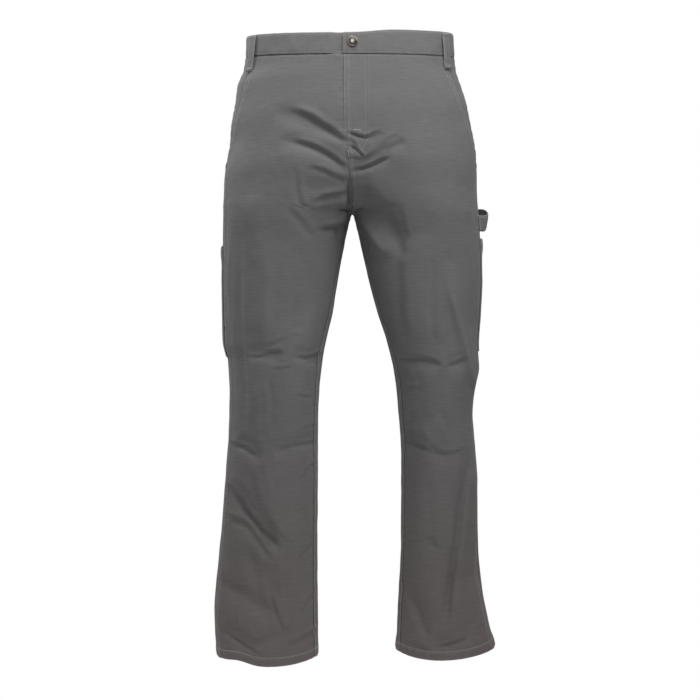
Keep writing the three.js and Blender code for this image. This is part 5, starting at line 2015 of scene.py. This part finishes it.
    @staticmethod
    def button() -> None:
        """The domed shank button: a turned profile with a rolled rim and a ring groove."""
        profile = np.array(BUTTON_PROFILE) * (BUTTON_RADIUS, BUTTON_HEIGHT)
        steps = np.linspace(0, len(profile) - 1, 64)
        shape = np.stack(
            [np.interp(steps, np.arange(len(profile)), profile[:, k]) for k in range(2)], axis=1
        )
        kernel = np.array([0.25, 0.5, 0.25])
        for _ in range(5):
            for k in range(2):
                shape[1:-1, k] = np.convolve(shape[:, k], kernel, "same")[1:-1]
        shape[0, 0] = shape[-1, 0] = 0.0
        sides = 80
        turn = np.linspace(0, 2 * np.pi, sides, endpoint=False)
        ring = np.stack([np.cos(turn), np.zeros(sides), np.sin(turn)], axis=1)
        body = shape[1:-1]
        points = body[:, None, :1] * ring[None] - body[:, None, 1:] * np.array([0.0, 1.0, 0.0])
        points = points.reshape(-1, 3)
        poles = np.array([[0, -shape[0, 1], 0], [0, -shape[-1, 1], 0]])
        degrees = np.degrees(np.arcsin(BUTTON_OUT / HIPS))
        seat = around_waist(np.array([degrees]), np.array([2.0]), BAND_PROUD + SEAM_GAP)[0]
        seat[0] = BUTTON_OUT
        rows = len(body)
        index = np.arange(rows * sides).reshape(rows, sides)
        after = np.roll(index, -1, axis=1)
        a, b, c, d = index[:-1], index[1:], after[1:], after[:-1]
        first, last = rows * sides, rows * sides + 1
        faces = np.concatenate([
            np.stack([a, b, c], axis=-1).reshape(-1, 3),
            np.stack([a, c, d], axis=-1).reshape(-1, 3),
            np.stack([np.full(sides, first), index[0], after[0]], axis=-1),
            np.stack([np.full(sides, last), after[-1], index[-1]], axis=-1),
        ])
        # Pale rubbed metal on the rolled rim, and on the crown a pale patch that is part wear and part
        # painted highlight
        rubbed = bump(body[:, 0] - 8.6, 0.9) * (body[:, 1] > 1.5)
        rubbed = rubbed + 1.2 * bump(body[:, 0] - 0.4, 3.0) * (body[:, 1] > 3.0)
        rim = np.concatenate([np.repeat(rubbed, sides), [0.0, 1.3]])
        mesh = mesh_object("button_metal", np.vstack([points, poles]) + seat, faces, wear=rim)
        dress(mesh, AntiqueBrass(), ["button"])

# The studio

SOFTBOX_AIM = (0.0, 0.0, -0.2)
# Soft boxes: name, place, what each is turned to, width and height, all in metres, and watts
LIGHTS = (
    ("softbox_right", (-1.66, 0.29, 1.21), SOFTBOX_AIM, (1.1, 1.1), 28.0),
    ("softbox_left", (1.19, -1.19, 1.21), SOFTBOX_AIM, (1.1, 1.1), 20.0),
    ("softbox_low", (-0.40, -1.09, 0.11), SOFTBOX_AIM, (0.6, 0.6), 0.3),
    ("softbox_top", (0.0, -0.56, 0.86), SOFTBOX_AIM, (0.6, 0.6), 8.2),
    ("softbox_front", (-0.06, -1.5, 0.35), (0.0, 0.0, 0.0), (0.15, 0.15), 1.9),
    ("softbox_back_right", (-1.7, 1.5, 0.7), SOFTBOX_AIM, (1.0, 1.6), 8.0),
    ("softbox_back_left", (1.7, 1.5, 0.7), SOFTBOX_AIM, (1.0, 1.6), 8.0),
    ("hem_fill", (0.0, -0.5, -1.27), (0.0, 0.0, -1.05), (0.9, 0.25), 0.45),
)
SURROUND_POWER = 0.12
FLOOR_HEIGHT = -1300.0
CAMERA_PLACE = (0.0, -2.6, -0.53)
LENS, SENSOR = 74.3, 36.0


@dataclass
class Studio:
    """A pale floor, soft lights and the camera."""

    def build(self) -> None:
        """Sets up the whole stage."""
        self.floor()
        self.world()
        for lamp in LIGHTS:
            self.light(*lamp)
        self.camera()
        log.info("studio made")

    @staticmethod
    def floor() -> None:
        """The painted floor, below the picture, that throws some light back up to the hems."""
        y, x = np.meshgrid(np.linspace(-1100, 550, 12), np.linspace(-1300, 1300, 18), indexing="ij")
        points = np.stack([x, y, np.full(x.shape, FLOOR_HEIGHT)], axis=-1)
        n, m = x.shape
        index = np.arange(n * m).reshape(n, m)
        a, b, c, d = index[:-1, :-1], index[1:, :-1], index[1:, 1:], index[:-1, 1:]
        quads = np.stack([a, d, c, b], axis=-1).reshape(-1, 4)
        piece = mesh_object("studio_floor", points.reshape(-1, 3), quads)
        piece.data.materials.append(WARDROBE.of(PaintedFloor()))

    @staticmethod
    def world() -> None:
        """A surround that looks white but lights the cloth little, and plain colours."""
        world = bpy.data.worlds.new("studio_air")
        world.use_nodes = True
        nodes, links = world.node_tree.nodes, world.node_tree.links
        seen, lighting = nodes["Background"], nodes.new("ShaderNodeBackground")
        seen.inputs[0].default_value = linear("#ffffff")
        lighting.inputs[0].default_value = linear("#ffffff")
        lighting.inputs[1].default_value = SURROUND_POWER
        either = nodes.new("ShaderNodeMixShader")
        links.new(nodes.new("ShaderNodeLightPath").outputs["Is Camera Ray"], either.inputs[0])
        links.new(lighting.outputs[0], either.inputs[1])
        links.new(seen.outputs[0], either.inputs[2])
        links.new(either.outputs[0], nodes["World Output"].inputs[0])
        bpy.context.scene.world = world
        bpy.context.scene.view_settings.view_transform = "Standard"

    @staticmethod
    def light(
        name: str, place: Place, target: Place, size: tuple[float, float], power: float
    ) -> None:
        """Hangs a soft box.

        Args:
            name: Its name.
            place: Where it hangs, in metres.
            target: What it is turned to.
            size: Width and height.
            power: Watts.
        """
        data = bpy.data.lights.new(name, "AREA")
        data.shape = "RECTANGLE"
        data.size, data.size_y = size
        data.energy = power
        lamp = bpy.data.objects.new(name, data)
        lamp.location = place
        way = Vector(target) - Vector(place)
        lamp.rotation_euler = way.to_track_quat("-Z", "Y").to_euler()
        bpy.context.scene.collection.objects.link(lamp)

    @staticmethod
    def camera() -> None:
        """The camera: level, straight in front of the pants."""
        data = bpy.data.cameras.new("camera")
        data.lens, data.sensor_width = LENS, SENSOR
        data.clip_end = 20.0
        camera = bpy.data.objects.new("camera", data)
        camera.location = CAMERA_PLACE
        camera.rotation_euler = (np.pi / 2, 0.0, 0.0)
        bpy.context.scene.collection.objects.link(camera)
        bpy.context.scene.camera = camera


def main() -> None:
    logging.basicConfig(level=logging.INFO, format="%(name)s: %(message)s")
    Waist().build()
    for side in Side:
        Leg(side).build()
    Pockets().build()
    Studio().build()


if __name__ == "__main__":
    main()
